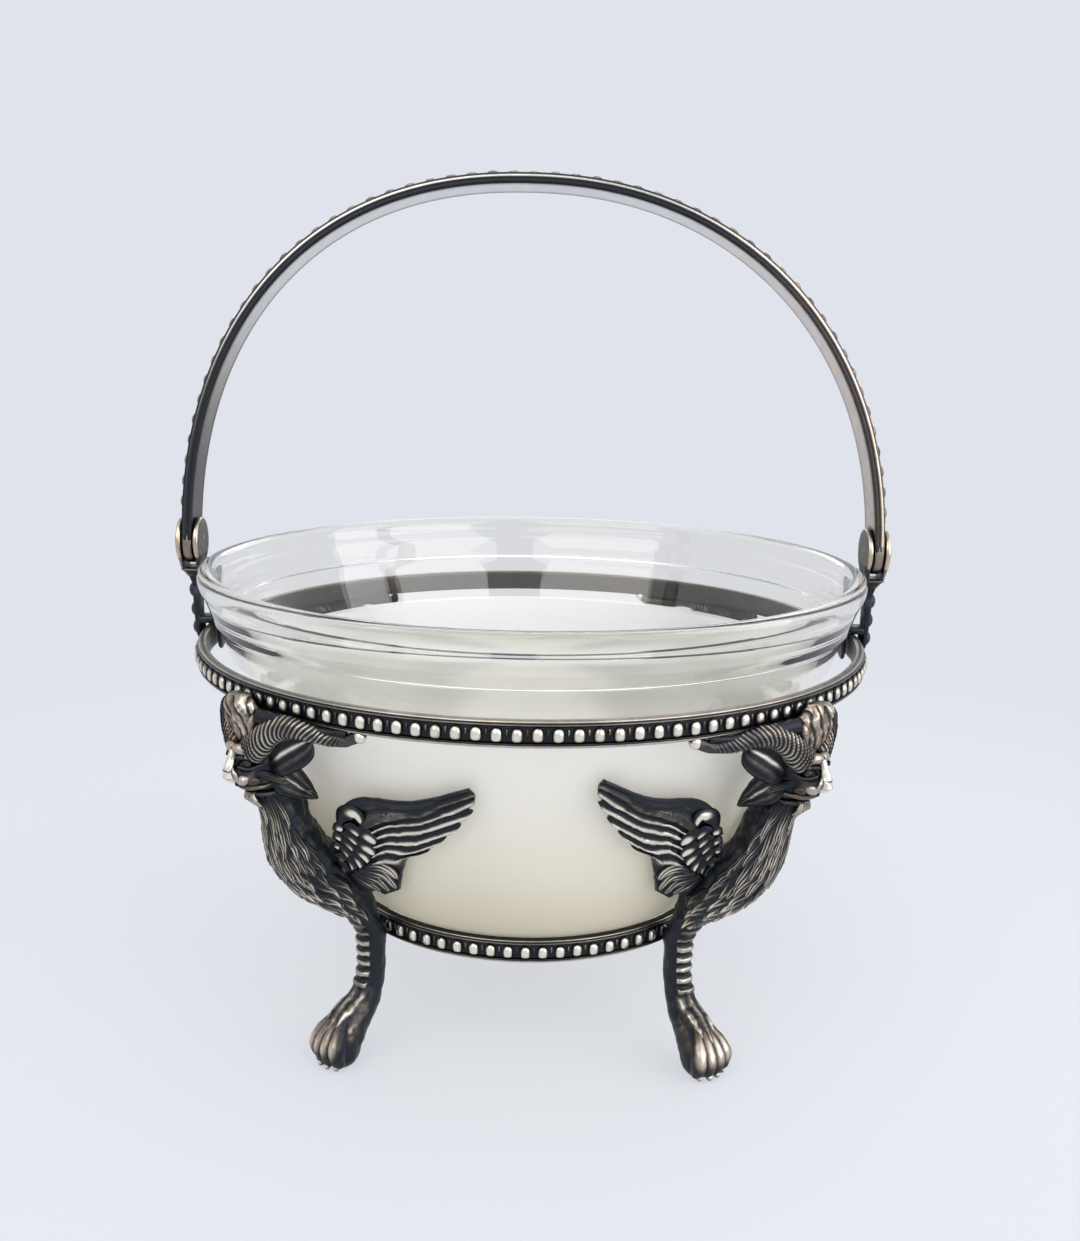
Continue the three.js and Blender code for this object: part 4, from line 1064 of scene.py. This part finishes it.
def horn(shape, side):
    share = np.linspace(0, 1, HORN_STEPS)
    path = spline(leg_path(HORN, side), share)
    radii = np.interp(share, *HORN_RADII)
    share, angle = share[:, None], around(HORN_SIDES)[None, :]
    worn = lerp(0.66, 0.5, smooth(share, 0.3, 0.85)) + 0.1 * clumps(path, 2.5, 3)[:, None]
    relief = lerp(0.04 + worn * horn_ridge(share, angle), 0.42, smooth(share, 0.78, 0.9))
    warm = lerp(1.0, 0.4, smooth(share, 0.4, 0.8)) * (0.6 + 0.4 * np.sin(angle))
    sweep(shape, path, radii, HORN_SIDES, 1.04, relief=relief, warmth=warm, swell=horn_swell)
    blob(shape, path[-1], [X * 1.15, Y * 1.3, Z * 1.25], 16, 0.98, 0.1)
    # The dark strand behind the horn is a painted shadow
    strand(shape, HORN_SHADOW_WEB, side, [1.4, 1.1, 0.8, 0.6], 0.06)


# Ridges on each side of the head: offsets, sides and levels of their points, radii, relief and warmth.
# First the brow and the curl behind it, then the eye's two lids and the nostril, then the two lips
BROW = [
    ((8.9, 8.5, 7.7, 6.4), (0, 1.5, 2.8, 3.7), (0.835, 0.836, 0.828, 0.812), (1.0, 1.2, 1.1, 0.6), 0.66, 1.0),
    (
        (6.1, 5.3, 4.6, 3.7, 3),
        (3.1, 3.8, 4.2, 4.4, 4.5),
        (0.875, 0.905, 0.94, 0.955, 0.935),
        (0.9, 1.1, 1.1, 0.9, 0.6),
        0.62,
        0.9,
    ),
]
LIDS = [
    ((11.2, 10.4, 9, 7.4), (1.5, 2.4, 3.1, 3.5), (0.779, 0.771, 0.772, 0.783), (0.3, 0.38, 0.3, 0.2), 0.32),
    ((10.4, 9.6, 8.4, 7.2), (1.5, 2.5, 3.2, 3.6), (0.812, 0.813, 0.806, 0.793), (0.3, 0.34, 0.3, 0.2), 0.3),
    (
        (11.9, 12.5, 12.7, 12.6),
        (0.9, 1.6, 1.7, 1.1),
        (0.775, 0.758, 0.738, 0.722),
        (0.3, 0.45, 0.45, 0.3),
        0.62,
    ),
]
LIPS = [
    (
        (12.4, 11.5, 9.6, 7.6),
        (0.3, 1.8, 2.7, 3.1),
        (0.704, 0.7, 0.698, 0.703),
        (0.5, 0.55, 0.5, 0.3),
        0.46,
        0.7,
    ),
    ((11, 10.4, 9, 7), (0.2, 1.5, 2.4, 2.9), (0.668, 0.665, 0.665, 0.667), (0.55, 0.55, 0.45, 0.3), 0.34),
]
# The first lock of the cheek, and how far each next one lies from it
CHEEK_LOCKS = 6
CHEEK_LOCK = np.array([(9.4, 2.9, 0.752), (7.4, 3.5, 0.737), (5.2, 4.0, 0.705)])
CHEEK_LOCK_STEP = np.array([(-0.75, 0.1, -0.012), (-0.75, 0.1, -0.012), (-0.75, 0.15, -0.012)])
# Root and tip of the ear and of the tuft under it, and how full they are along their length
EAR, EAR_OUTLINE = [(5.5, 3, 0.77), (-1.2, 11, 0.88)], [[0.55], [0.9], [1], [0.97], [0.62]]
TUFT, TUFT_OUTLINE = [(5.5, 2.4, 0.735), (1, 4.6, 0.615)], [[0.6], [1], [0.85], [0.5], [0.12]]


def strands(shape, table, side):
    for offsets, sides, levels, radii, *shades in table:
        strand(shape, np.transpose([offsets, sides, levels]), side, radii, *shades)


def head(shape, side):
    """What the skin can't show on one side of the head: brow, eye, muzzle, lips, locks, ear and tuft."""
    out = np.array([1, side, 1])
    strands(shape, BROW, side)
    eye = [(X + Y * side * 0.5) * 0.85, (Y - X * side * 0.5) * 0.85, Z * 0.85]
    blob(shape, leg_point(9.3, side * 2.35, 0.792), eye, 16, 0.34)
    strands(shape, LIDS, side)
    blob(shape, leg_point(11.5, side * 1.85, 0.732), [X * 1.6, Y * 0.8, Z * 1.1], 18, 0.66, 0.5)
    blob(shape, leg_point(9.8, side * 2.4, 0.724), [X * 1.7, Y * 0.85, Z * 1.0], 16, 0.42, 0.9)
    strands(shape, LIPS, side)
    for k in range(CHEEK_LOCKS):
        path = leg_path(CHEEK_LOCK + k * CHEEK_LOCK_STEP, side)
        plume(shape, path, [Y * side] * 3, 1.5, 0.4, 0.1, 1.5, 0, 0.3, 0.46 + 0.14 * (k % 2), 0.5)
    leaf(shape, *leg_path(EAR, side), 7.9, 2.1, EAR_OUTLINE, out * (1.2, 0, 0.2), 0.22, 0.42)
    leaf(shape, *leg_path(TUFT, side), 6.2, 1.9, TUFT_OUTLINE, out * (0.4, 0.9, 0.3), 0.24, 0.3)


def front_of_head(shape):
    """The ridge of the nose with its knob, the chin and the four locks of the beard."""
    nose = [(9.2, 0, 0.83), (10.8, 0, 0.8), (12.2, 0, 0.77), (12.9, 0, 0.742)]
    strand(shape, nose, 1, [0.9, 0.85, 1.1, 1.5], 0.88, 0.25)
    blob(shape, leg_point(12.6, 0, 0.742), [X * 1.35, Y * 1.5, Z * 1.35], 18, 0.96, 0.2)
    blob(shape, leg_point(10.4, 0, 0.668), [X * 1.7, Y * 1.6, Z * 0.8], 14, 0.5)
    for side, tip_level in ((-1.3, 0.62), (-0.45, 0.605), (0.45, 0.6), (1.3, 0.615)):
        points = [(11.2, 0.7 * side, 0.667), (11.7, side, 0.643), (11.1, 1.15 * side, tip_level)]
        strand(shape, points, 1, [0.5, 0.6, 0.12], 0.62, 0.3, 10)


# Tiers of locks on the neck and feathers on the breast: first row, length in rows, width, how many,
# how far round in degrees, and slanting grooves
TIERS = [
    (13.05, 1.5, 1.7, 8, 62, 0),
    (12.45, 1.6, 1.7, 9, 68, 0),
    (11.8, 1.5, 1.9, 9, 72, 0),
    (11.2, 1.3, 2.0, 10, 78, 0),
    (10.65, 1.2, 2.2, 10, 86, 0),
    (10.1, 1.2, 2.4, 10, 92, 0.8),
    (9.55, 1.15, 2.6, 9, 92, 1.2),
    (9.0, 1.1, 2.6, 9, 88, 1.2),
    (8.5, 1.0, 2.5, 8, 80, 1.2),
    (8.05, 0.95, 2.3, 7, 66, 1),
    (7.65, 0.8, 2.0, 5, 50, 1),
]
# Shares of a feather's length at its four points, and how far its sway takes each
FEATHER_STEPS, FEATHER_SWAY = np.array([0, 0.35, 0.7, 1]), np.array([0, 0.5, 1.2, 0.9])


def breast_feathers(shape):
    rng = np.random.default_rng(11)
    for tier, (row, length, width, count, spread, barbs) in enumerate(TIERS):
        for k in range(count):
            angle = spread * (2 * (k + 0.5 * (tier % 2)) / (count - 0.5) - 1) + rng.normal(0, 2.5)
            if abs(angle) > spread:
                continue
            reach = length * rng.uniform(0.85, 1.15)
            sway = rng.normal(0, 5) + 0.1 * angle
            rows = row + rng.normal(0, 0.05) - reach * FEATHER_STEPS
            angles = np.radians(angle + sway * FEATHER_SWAY)
            path = body_point(rows, angles)
            up = body_point(rows, angles, 1.0) - path
            wide = width * rng.uniform(0.85, 1.1)
            relief = (1.12 - 0.0055 * abs(angle)) * rng.uniform(0.75, 1.1)
            warmth = 0.2 + 0.5 * (rng.random() < 0.3)
            plume(shape, path, up, wide, 0.42, 0.12, 1.5, barbs, 0.35, relief, warmth)


TOES = 4
TOE_PITCH = 2.05
TOE_STEPS, TOE_SIDES = 40, 18
# Along a toe: offset, share of its side, height above the floor, radius and relief
TOE = [
    (10.2, 0.25, 11.2, 0.7, 0.4),
    (12.4, 0.55, 9.3, 1.1, 0.5),
    (14.6, 0.85, 6.9, 1.55, 0.7),
    (15.7, 1.0, 4.8, 1.7, 0.85),
    (15.7, 1.0, 2.9, 1.5, 0.3),
    (15.3, 0.95, 1.5, 1.2, 0.15),
]


def toe(shape, index):
    side = (index - (TOES - 1) / 2) * TOE_PITCH
    share = np.linspace(0, 1, TOE_STEPS)
    offset, spread, height, radius, relief = spline(TOE, share).T
    x = LOWER_RING_BORE + RING_DEPTH + offset - 0.35 * abs(side) * share
    path = np.stack([x, side * spread, np.maximum(height, radius)], axis=-1)
    # Painted highlight and shade: each toe is lighter on its outer face and darker on its inner one
    shade = 0.3 + 0.75 * np.clip(np.sin(around(TOE_SIDES) + 0.2), 0, 1) ** 1.5
    shade = 0.85 * relief[:, None] * shade
    sweep(shape, path, radius, TOE_SIDES, 1.05, normal=(0.75, 0, 1), relief=shade, warmth=0.7)
    claw = path[-1] + (0.85, 0, -0.45)
    blob(shape, claw, [X * 0.8, Y * 0.6, Z * 0.72], 12, 0.95, 0.1)


def cleared(points, gap=0.3):
    """Keeps points out of the bowl."""
    radial = np.hypot(points[:, 0], points[:, 1])
    least = bowl_radius(points[:, 2]) + gap
    inside = (radial < least) & (points[:, 2] > SEAT_HEIGHT) & (points[:, 2] < NECK_HEIGHT)
    scale = np.where(inside, least / np.maximum(radial, 1e-6), 1)
    return points * np.stack([scale, scale, np.ones_like(scale)], axis=-1)


def twisted(points, twist):
    """Turns the lower part of a leg about the upright line through its back, by an angle in degrees."""
    full, end = leg_point(0, 0, [TWIST_FULL, TWIST_END])
    foot = leg_point(0, 0, 0)
    x, y, z = points.T
    turn = math.radians(twist) * smooth(z, end[2], full[2])
    back = np.interp(z, [foot[2], end[2]], [foot[0], end[0]])
    cos, sin = np.cos(turn), np.sin(turn)
    x = x - back
    return np.stack([back + x * cos - y * sin, x * sin + y * cos, z], axis=-1)


def griffin_mesh(shape, cast, polished, twist):
    """The mesh of a griffin with its leg twisted. Its far horn is bent in and darkened."""
    far = 1 if twist else -1
    shape.points, shape.relief = [], []
    for points, shade in zip(cast, polished):
        reach = np.maximum(far * points[:, 1] - BENT_SIDE, 0)
        bent = BENT_SHARE * reach * smooth(points[:, 2], BENT_FROM, BENT_FULL)
        points = cleared(twisted(points - Y * (far * bent)[:, None], twist))
        points[:, 2] = np.maximum(points[:, 2], SOLE_HEIGHT)
        shape.points.append(points)
        shape.relief.append(shade * (1 - 0.75 * smooth(reach, 1.8, 4.5)))
    return shape.mesh("griffin_cast", [cast_silver])


def make_griffins():
    shape = Shape()
    griffin_skin(shape)
    front_of_head(shape)
    breast_feathers(shape)
    for side in (-1, 1):
        head(shape, side)
        horn(shape, side)
    for index in range(TOES):
        toe(shape, index)
    cast = [uneven(points, 0.1, 1.1, (1, 5, 9)) for points in shape.points]
    polished = shape.relief
    meshes = {twist: griffin_mesh(shape, cast, polished, twist) for twist in (0, *TWISTS.values())}
    for corner, azimuth in LEGS.items():
        turned = Matrix.Rotation(math.radians(azimuth), 4, "Z")
        place(meshes[TWISTS.get(corner, 0)], "griffin_" + corner, "cast", "frame", "cast_silver", turned)


# Wings. Each point is the arc from the leg's plane, the level, and the distance from the glass. Each
# ray of the fan runs from the root over the shoulder and the middle to a feather's tip.

WING_ROOT = np.array([(6.4, 0.405, 6.2), (3.6, 0.27, 5.6)])
WING_SHOULDER = [
    (9, 0.56, 4.6),
    (10.6, 0.53, 3.8),
    (10.8, 0.44, 3.6),
    (9.6, 0.36, 3.8),
    (7.4, 0.28, 4.2),
    (4.6, 0.22, 4.8),
]
WING_MIDDLE = [
    (14, 0.655, 2.6),
    (18, 0.61, 2),
    (18.4, 0.52, 1.9),
    (15.4, 0.43, 2.1),
    (12.4, 0.33, 2.4),
    (8, 0.23, 3),
]
# The arc and the level of each tip, all equally far from the glass
WING_TIPS = [
    (38.8, 0.764),
    (36.8, 0.67),
    (32.8, 0.595),
    (28.8, 0.535),
    (24.2, 0.47),
    (18.6, 0.42),
    (15.6, 0.34),
    (12.4, 0.25),
    (7.6, 0.2),
]
WING_STANDOFF = 1.8
# How far the long feathers hang between the middle and the tips, and how far the raised wing's tips
# are pulled in and lifted, as shares
WING_SAG = 0.024
TIP_PULL, TIP_RAISE = 0.07, 0.042
RAISED_WING = "wing_front_right_cw"
FEATHERS = len(WING_TIPS) - 1
# Where the six ridges of the long feathers lie across the fan, at these shares of the way to the tips
RIDGE_STATIONS = [0.5, 0.7, 0.8, 0.9, 1.0]
RIDGES = [
    (2.3, 2.15, 1.2, 0.45, 0.3),
    (2.65, 2.5, 1.85, 1.05, 0.6),
    (3.05, 3.15, 2.52, 1.85, 1.3),
    (3.65, 3.95, 3.45, 2.9, 2.3),
    (4.4, 4.6, 4.45, 3.85, 3.3),
    (5.1, 5.5, 5.25, 4.8, 4.35),
]
RIDGE_SHINE = [0.1, 0.4, 0.8, 0.95, 0.95, 0.9, 0.75, 0.1]
# Short feathers of the lower fan and over the shoulder: their paths across and along the fan, with
# width, lift and relief
LOWER_FAN = [
    ([(5.6, 0.135), (6.3, 0.3), (7.3, 0.5), (7.9, 0.74)], 2.6, 0.85, 0.62),
    ([(5.25, 0.18), (6.05, 0.4), (7.1, 0.62), (7.4, 0.95)], 2.5, 1.0, 0.7),
    ([(5.1, 0.25), (5.7, 0.45), (6.6, 0.68), (6.85, 0.99)], 2.4, 1.15, 0.78),
    ([(4.95, 0.34), (5.4, 0.52), (6.05, 0.72), (6.25, 0.98)], 2.2, 1.3, 1.0),
]
SHOULDER = [
    ([(2.15, 0.03), (3.6, 0.05), (5.3, 0.085)], 1.6, 1.3, 0.6),
    ([(2.5, 0.11), (3.8, 0.17), (4.95, 0.205)], 1.6, 1.35, 0.75),
    ([(2.65, 0.19), (3.75, 0.26), (4.9, 0.32)], 1.7, 1.4, 0.9),
    ([(2.6, 0.27), (3.5, 0.33), (4.7, 0.425)], 1.8, 1.45, 1.0),
    ([(2.45, 0.34), (3.1, 0.385), (4.3, 0.495)], 1.9, 1.5, 1.05),
    ([(2.0, 0.4), (2.55, 0.44), (3.4, 0.51)], 1.9, 1.5, 1.05),
    ([(0.75, 0.3), (0.45, 0.4), (0.62, 0.47), (1.2, 0.495), (1.9, 0.48)], 2.0, 1.6, 1.1),
    ([(1.3, 0.05), (2.2, 0.08), (3.4, 0.12)], 1.5, 1.7, 0.35),
    ([(1.5, 0.13), (2.3, 0.17), (3.3, 0.21)], 1.5, 1.75, 0.5),
    ([(1.5, 0.2), (2.2, 0.24), (3.1, 0.29)], 1.5, 1.8, 0.55),
    ([(1.5, 0.27), (2.1, 0.31), (2.9, 0.36)], 1.5, 1.85, 0.6),
    ([(1.3, 0.35), (1.8, 0.37), (2.5, 0.41)], 1.5, 1.85, 0.6),
    ([(0.6, 0.1), (1.3, 0.13), (2.1, 0.16)], 1.3, 2.0, 0.75),
    ([(0.5, 0.18), (1.1, 0.21), (1.9, 0.23)], 1.3, 2.05, 0.8),
    ([(0.4, 0.26), (0.9, 0.29), (1.6, 0.31)], 1.4, 2.05, 0.9),
]


def wing_point(across, along, lift=0.0, longer=1.0, raised=False):
    """across runs over the fan from 0 at its top edge, along from 0 at the root to 1 at the tips."""
    across, along, lift, longer = alike(across, along, lift, longer)
    f, share = across.reshape(-1), across.reshape(-1, 1) / FEATHERS
    root = lerp(*WING_ROOT, share)
    shoulder, middle = spline(WING_SHOULDER, share[:, 0]), spline(WING_MIDDLE, share[:, 0])
    tips = np.array([(*tip, WING_STANDOFF) for tip in WING_TIPS])
    tip = np.stack([np.interp(f, np.arange(FEATHERS + 1), column) for column in tips.T], axis=-1)
    tip = middle + (tip - middle) * longer.reshape(-1, 1)
    halfway = (middle + tip) / 2 - (0, WING_SAG, 0) * (1 - share)
    stack = np.stack([2 * root - shoulder, root, shoulder, middle, halfway, tip, 2 * tip - halfway])
    at = np.clip(np.interp(along.reshape(-1), [0, 1 / 3, 2 / 3, 1], [0, 1, 2, 4]), 0, 4 - 1e-9)
    index = at.astype(int)
    pick = np.arange(len(f))
    u = (at - index)[:, None]
    a, b, c, d = (stack[index + k, pick] for k in range(4))
    reach, level, standoff = catmull(a, b, c, d, u).T
    out = reach / WING_TIPS[0][0] * raised
    height = lerp(LOWER_RING_HEIGHT, UPPER_RING_HEIGHT, level + TIP_RAISE * out)
    radius = bowl_radius(height) + standoff
    angle = reach * (1 - TIP_PULL * out) / radius
    radius += lift.reshape(-1)
    points = np.stack([radius * np.cos(angle), radius * np.sin(angle), height], axis=-1)
    return points.reshape(*across.shape, 3)


def wing_sheet(shape, raised):
    """The thin fan itself, with the ridges of its long feathers and the pitted band beside them."""
    t = np.linspace(0, 1, 90)
    edges = np.linspace(0, FEATHERS, 230)
    ridges = np.array([np.interp(t, RIDGE_STATIONS, ridge) for ridge in RIDGES])
    count = len(RIDGES)
    numbers = [*range(count + 1), count + 0.5, count + 2]
    # The ridges lie at whole numbers of feather
    places = [[0, *column, 5.9, FEATHERS] for column in ridges.T]
    feather = np.stack([np.interp(edges, place, numbers) for place in places], axis=1)
    f, t = np.broadcast_arrays(edges[:, None], t[None, :])
    off = feather - np.round(feather)
    long = smooth(feather, count + 0.5, count + 0.3) * smooth(t, 0.36, 0.46)
    ridge = bump(off, 0, 0.3) * (feather > 0.6)
    shine = np.interp(feather, range(count + 2), RIDGE_SHINE)
    spot = clumps(wing_point(f, t), 0.9, 4)
    lift = 0.75 + long * (0.6 * ridge - 0.15 * bump(off, 0.42, 0.16) + 0.05 * spot)
    relief = 0.06 + long * ridge * (shine + 0.12 * spot)
    band = smooth(feather, 0.56, 0.46)
    lift += band * 0.45 * np.sin(math.pi * np.clip(feather / 0.56, 0, 1)) ** 0.6
    relief = relief + band * (0.13 + 0.1 * spot) + 0.25 * long * bump(feather, 0.5, 0.09)
    pitted = bump(feather, 0.74, 0.14) * smooth(t, 0.36, 0.42) * smooth(t, 0.82, 0.74)
    pits = np.cos(TURN * t * 46 + feather * 20) * np.cos(TURN * feather * 7)
    lift += pitted * 0.1 * pits
    relief += pitted * (0.22 + 0.3 * pits)
    notch = 0.045 * long * smooth(np.abs(off + 0.08), 0.25, 0.5) * smooth(feather, 1.6, 2.4)
    notch += 0.05 * smooth(f, 0.5, 0) ** 2
    notch += 0.1 * smooth(feather, count + 0.35, count + 0.6) * smooth(f, 6.4, 5.6)
    top = wing_point(f, t, lift, 1 - notch, raised)
    under = wing_point(f, t, 0.0, 1 - notch, raised)
    closed_sheet(shape, top, under, np.clip(relief, 0, 1), 0.12)


def make_wing(raised):
    shape = Shape()
    wing_sheet(shape, raised)
    for feathers, wide, lines, blunt, tipped in ((LOWER_FAN, 1, 1.5, 0.6, 0), (SHOULDER, 1.45, 0.5, 0.55, 1)):
        for path, width, lift, relief in feathers:
            points = wing_point(*np.transpose(path), lift, raised=raised)
            style = (wide * width, 0.5, 0, lines, 0, blunt, relief + 0.2, 0.15, 0.9, tipped)
            plume(shape, points, points * (1, 1, 0), *style)
    shape.points = [cleared(uneven(points, 0.06, 0.9, (2, 6, 7))) for points in shape.points]
    return shape.mesh("wing_cast", [cast_silver])


def make_wings():
    common, bent = make_wing(False), make_wing(True)
    for corner, azimuth in LEGS.items():
        for hand, mirror in (("ccw", 1), ("cw", -1)):
            turned = Matrix.Rotation(math.radians(azimuth), 4, "Z") @ Matrix.Diagonal((1, mirror, 1, 1))
            node = "wing_" + corner + "_" + hand
            place(bent if node == RAISED_WING else common, node, "cast", "frame", "cast_silver", turned)


# Camera, light and surroundings

PHOTO_WIDTH, FOCAL_PIXELS, SENSOR_WIDTH = 1080, 1319.4, 36
CAMERA_AT = (1.79, -279.2, 145.3)
PITCH, ROLL, YAW = math.radians(12.366), 0.0176, -0.0002
BACKDROP = (0.745, 0.768, 0.83)
WORLD_LIGHT, WORLD_STRENGTH = (0.95, 0.97, 1.0), 0.75
FLOOR_COLOUR = (0.675, 0.685, 0.70)
# From and to which distance the floor fades, and the share of backdrop in it there
FLOOR_FADE = {"From Min": 0.08, "From Max": 0.4, "To Min": 0.7, "To Max": 1}
FLOOR_RADIUS, FLOOR_SIDES = 3, 64
# Just under the soles
FLOOR_HEIGHT = -0.00005
# Name, place, size, power and colour of each lamp
LAMPS = [
    ("key", (-0.45, -0.75, 0.85), (1.0, 1.0), 7.1, (1, 0.985, 0.96)),
    ("fill", (0.75, -0.45, 0.5), (1.2, 1.0), 9.2, (0.985, 0.98, 0.99)),
    ("top", (0, 0.1, 0.9), (0.9, 0.6), 1.5, (1, 1, 1)),
    ("back", (0.1, 0.8, 0.5), (0.6, 0.3), 1.0, (1, 1, 1)),
]
LAMP_TARGET = (0, 0, 0.06)


def make_camera():
    forward = Vector((math.sin(YAW) * math.cos(PITCH), math.cos(YAW) * math.cos(PITCH), -math.sin(PITCH)))
    right = Vector((math.cos(YAW), -math.sin(YAW), 0))
    up = right.cross(forward)
    turned_right = math.cos(ROLL) * right + math.sin(ROLL) * up
    turned_up = math.cos(ROLL) * up - math.sin(ROLL) * right
    data = bpy.data.cameras.new("camera")
    data.sensor_fit = "HORIZONTAL"
    data.sensor_width = SENSOR_WIDTH
    data.lens = FOCAL_PIXELS * SENSOR_WIDTH / PHOTO_WIDTH
    data.clip_start, data.clip_end = 0.01, 20
    camera = bpy.data.objects.new("camera", data)
    scene.collection.objects.link(camera)
    rows = Matrix((turned_right, turned_up, -forward)).transposed().to_4x4()
    camera.matrix_world = Matrix.Translation(Vector(CAMERA_AT) * MM) @ rows
    scene.camera = camera


def background(tree, colour, strength):
    made = tree.nodes.new("ShaderNodeBackground")
    made.inputs["Color"].default_value = (*colour, 1)
    made.inputs["Strength"].default_value = strength
    return made.outputs[0]


def make_world():
    """The backdrop's colour where the world is seen, mirrored or seen through glass, else soft light."""
    world = bpy.data.worlds.new("studio")
    scene.world = world
    world.use_nodes = True
    tree = world.node_tree
    tree.nodes.clear()
    output = tree.nodes.new("ShaderNodeOutputWorld")
    path = tree.nodes.new("ShaderNodeLightPath")
    seen = path.outputs["Is Camera Ray"]
    for name in ("Is Glossy Ray", "Is Transmission Ray"):
        either = tree.nodes.new("ShaderNodeMath")
        either.operation = "MAXIMUM"
        tree.links.new(seen, either.inputs[0])
        tree.links.new(path.outputs[name], either.inputs[1])
        seen = either.outputs[0]
    mix = tree.nodes.new("ShaderNodeMixShader")
    tree.links.new(seen, mix.inputs[0])
    tree.links.new(background(tree, WORLD_LIGHT, WORLD_STRENGTH), mix.inputs[1])
    tree.links.new(background(tree, BACKDROP, 1.0), mix.inputs[2])
    tree.links.new(mix.outputs[0], output.inputs["Surface"])


def make_lights():
    for name, place_at, size, power, colour in LAMPS:
        data = bpy.data.lights.new(name, "AREA")
        data.shape = "RECTANGLE"
        data.size, data.size_y = size
        data.energy = power
        data.color = colour
        lamp = bpy.data.objects.new(name, data)
        scene.collection.objects.link(lamp)
        lamp.location = place_at
        lamp.rotation_mode = "QUATERNION"
        lamp.rotation_quaternion = (Vector(LAMP_TARGET) - Vector(place_at)).to_track_quat("-Z", "Y")


def make_floor():
    """A pale floor that fades into the backdrop far from the object."""
    n = Nodes("floor")
    n.feed(n.shader, {"Base Color": FLOOR_COLOUR, "Roughness": 0.75})
    glow = n.node("Emission", {"Color": BACKDROP, "Strength": 1.0})
    distance = n.node("VectorMath", {0: n.where}, operation="LENGTH").outputs["Value"]
    fade = n.node("MapRange", {"Value": distance, **FLOOR_FADE}, interpolation_type="SMOOTHSTEP")
    n.cover(fade.outputs["Result"], glow)
    angle = around(FLOOR_SIDES)
    points = [(math.cos(a) * FLOOR_RADIUS, math.sin(a) * FLOOR_RADIUS, FLOOR_HEIGHT) for a in angle]
    mesh = bpy.data.meshes.new("floor")
    mesh.from_pydata(points, [], [tuple(range(FLOOR_SIDES))])
    mesh.materials.append(n.material)
    floor = bpy.data.objects.new("floor", mesh)
    scene.collection.objects.link(floor)


make_camera()
make_world()
make_lights()
make_floor()
make_bowl()
make_ring("upper_ring", UPPER_RING_BORE, UPPER_RING_HEIGHT)
make_ring("lower_ring", LOWER_RING_BORE, LOWER_RING_HEIGHT)
make_ring_beading("upper_ring_beading", UPPER_RING_BORE, UPPER_RING_HEIGHT, UPPER_BEADS)
make_ring_beading("lower_ring_beading", LOWER_RING_BORE, LOWER_RING_HEIGHT, LOWER_BEADS)
make_handle()
make_handle_beading()
make_brackets()
make_griffins()
make_wings()

scene.view_settings.view_transform = "Standard"
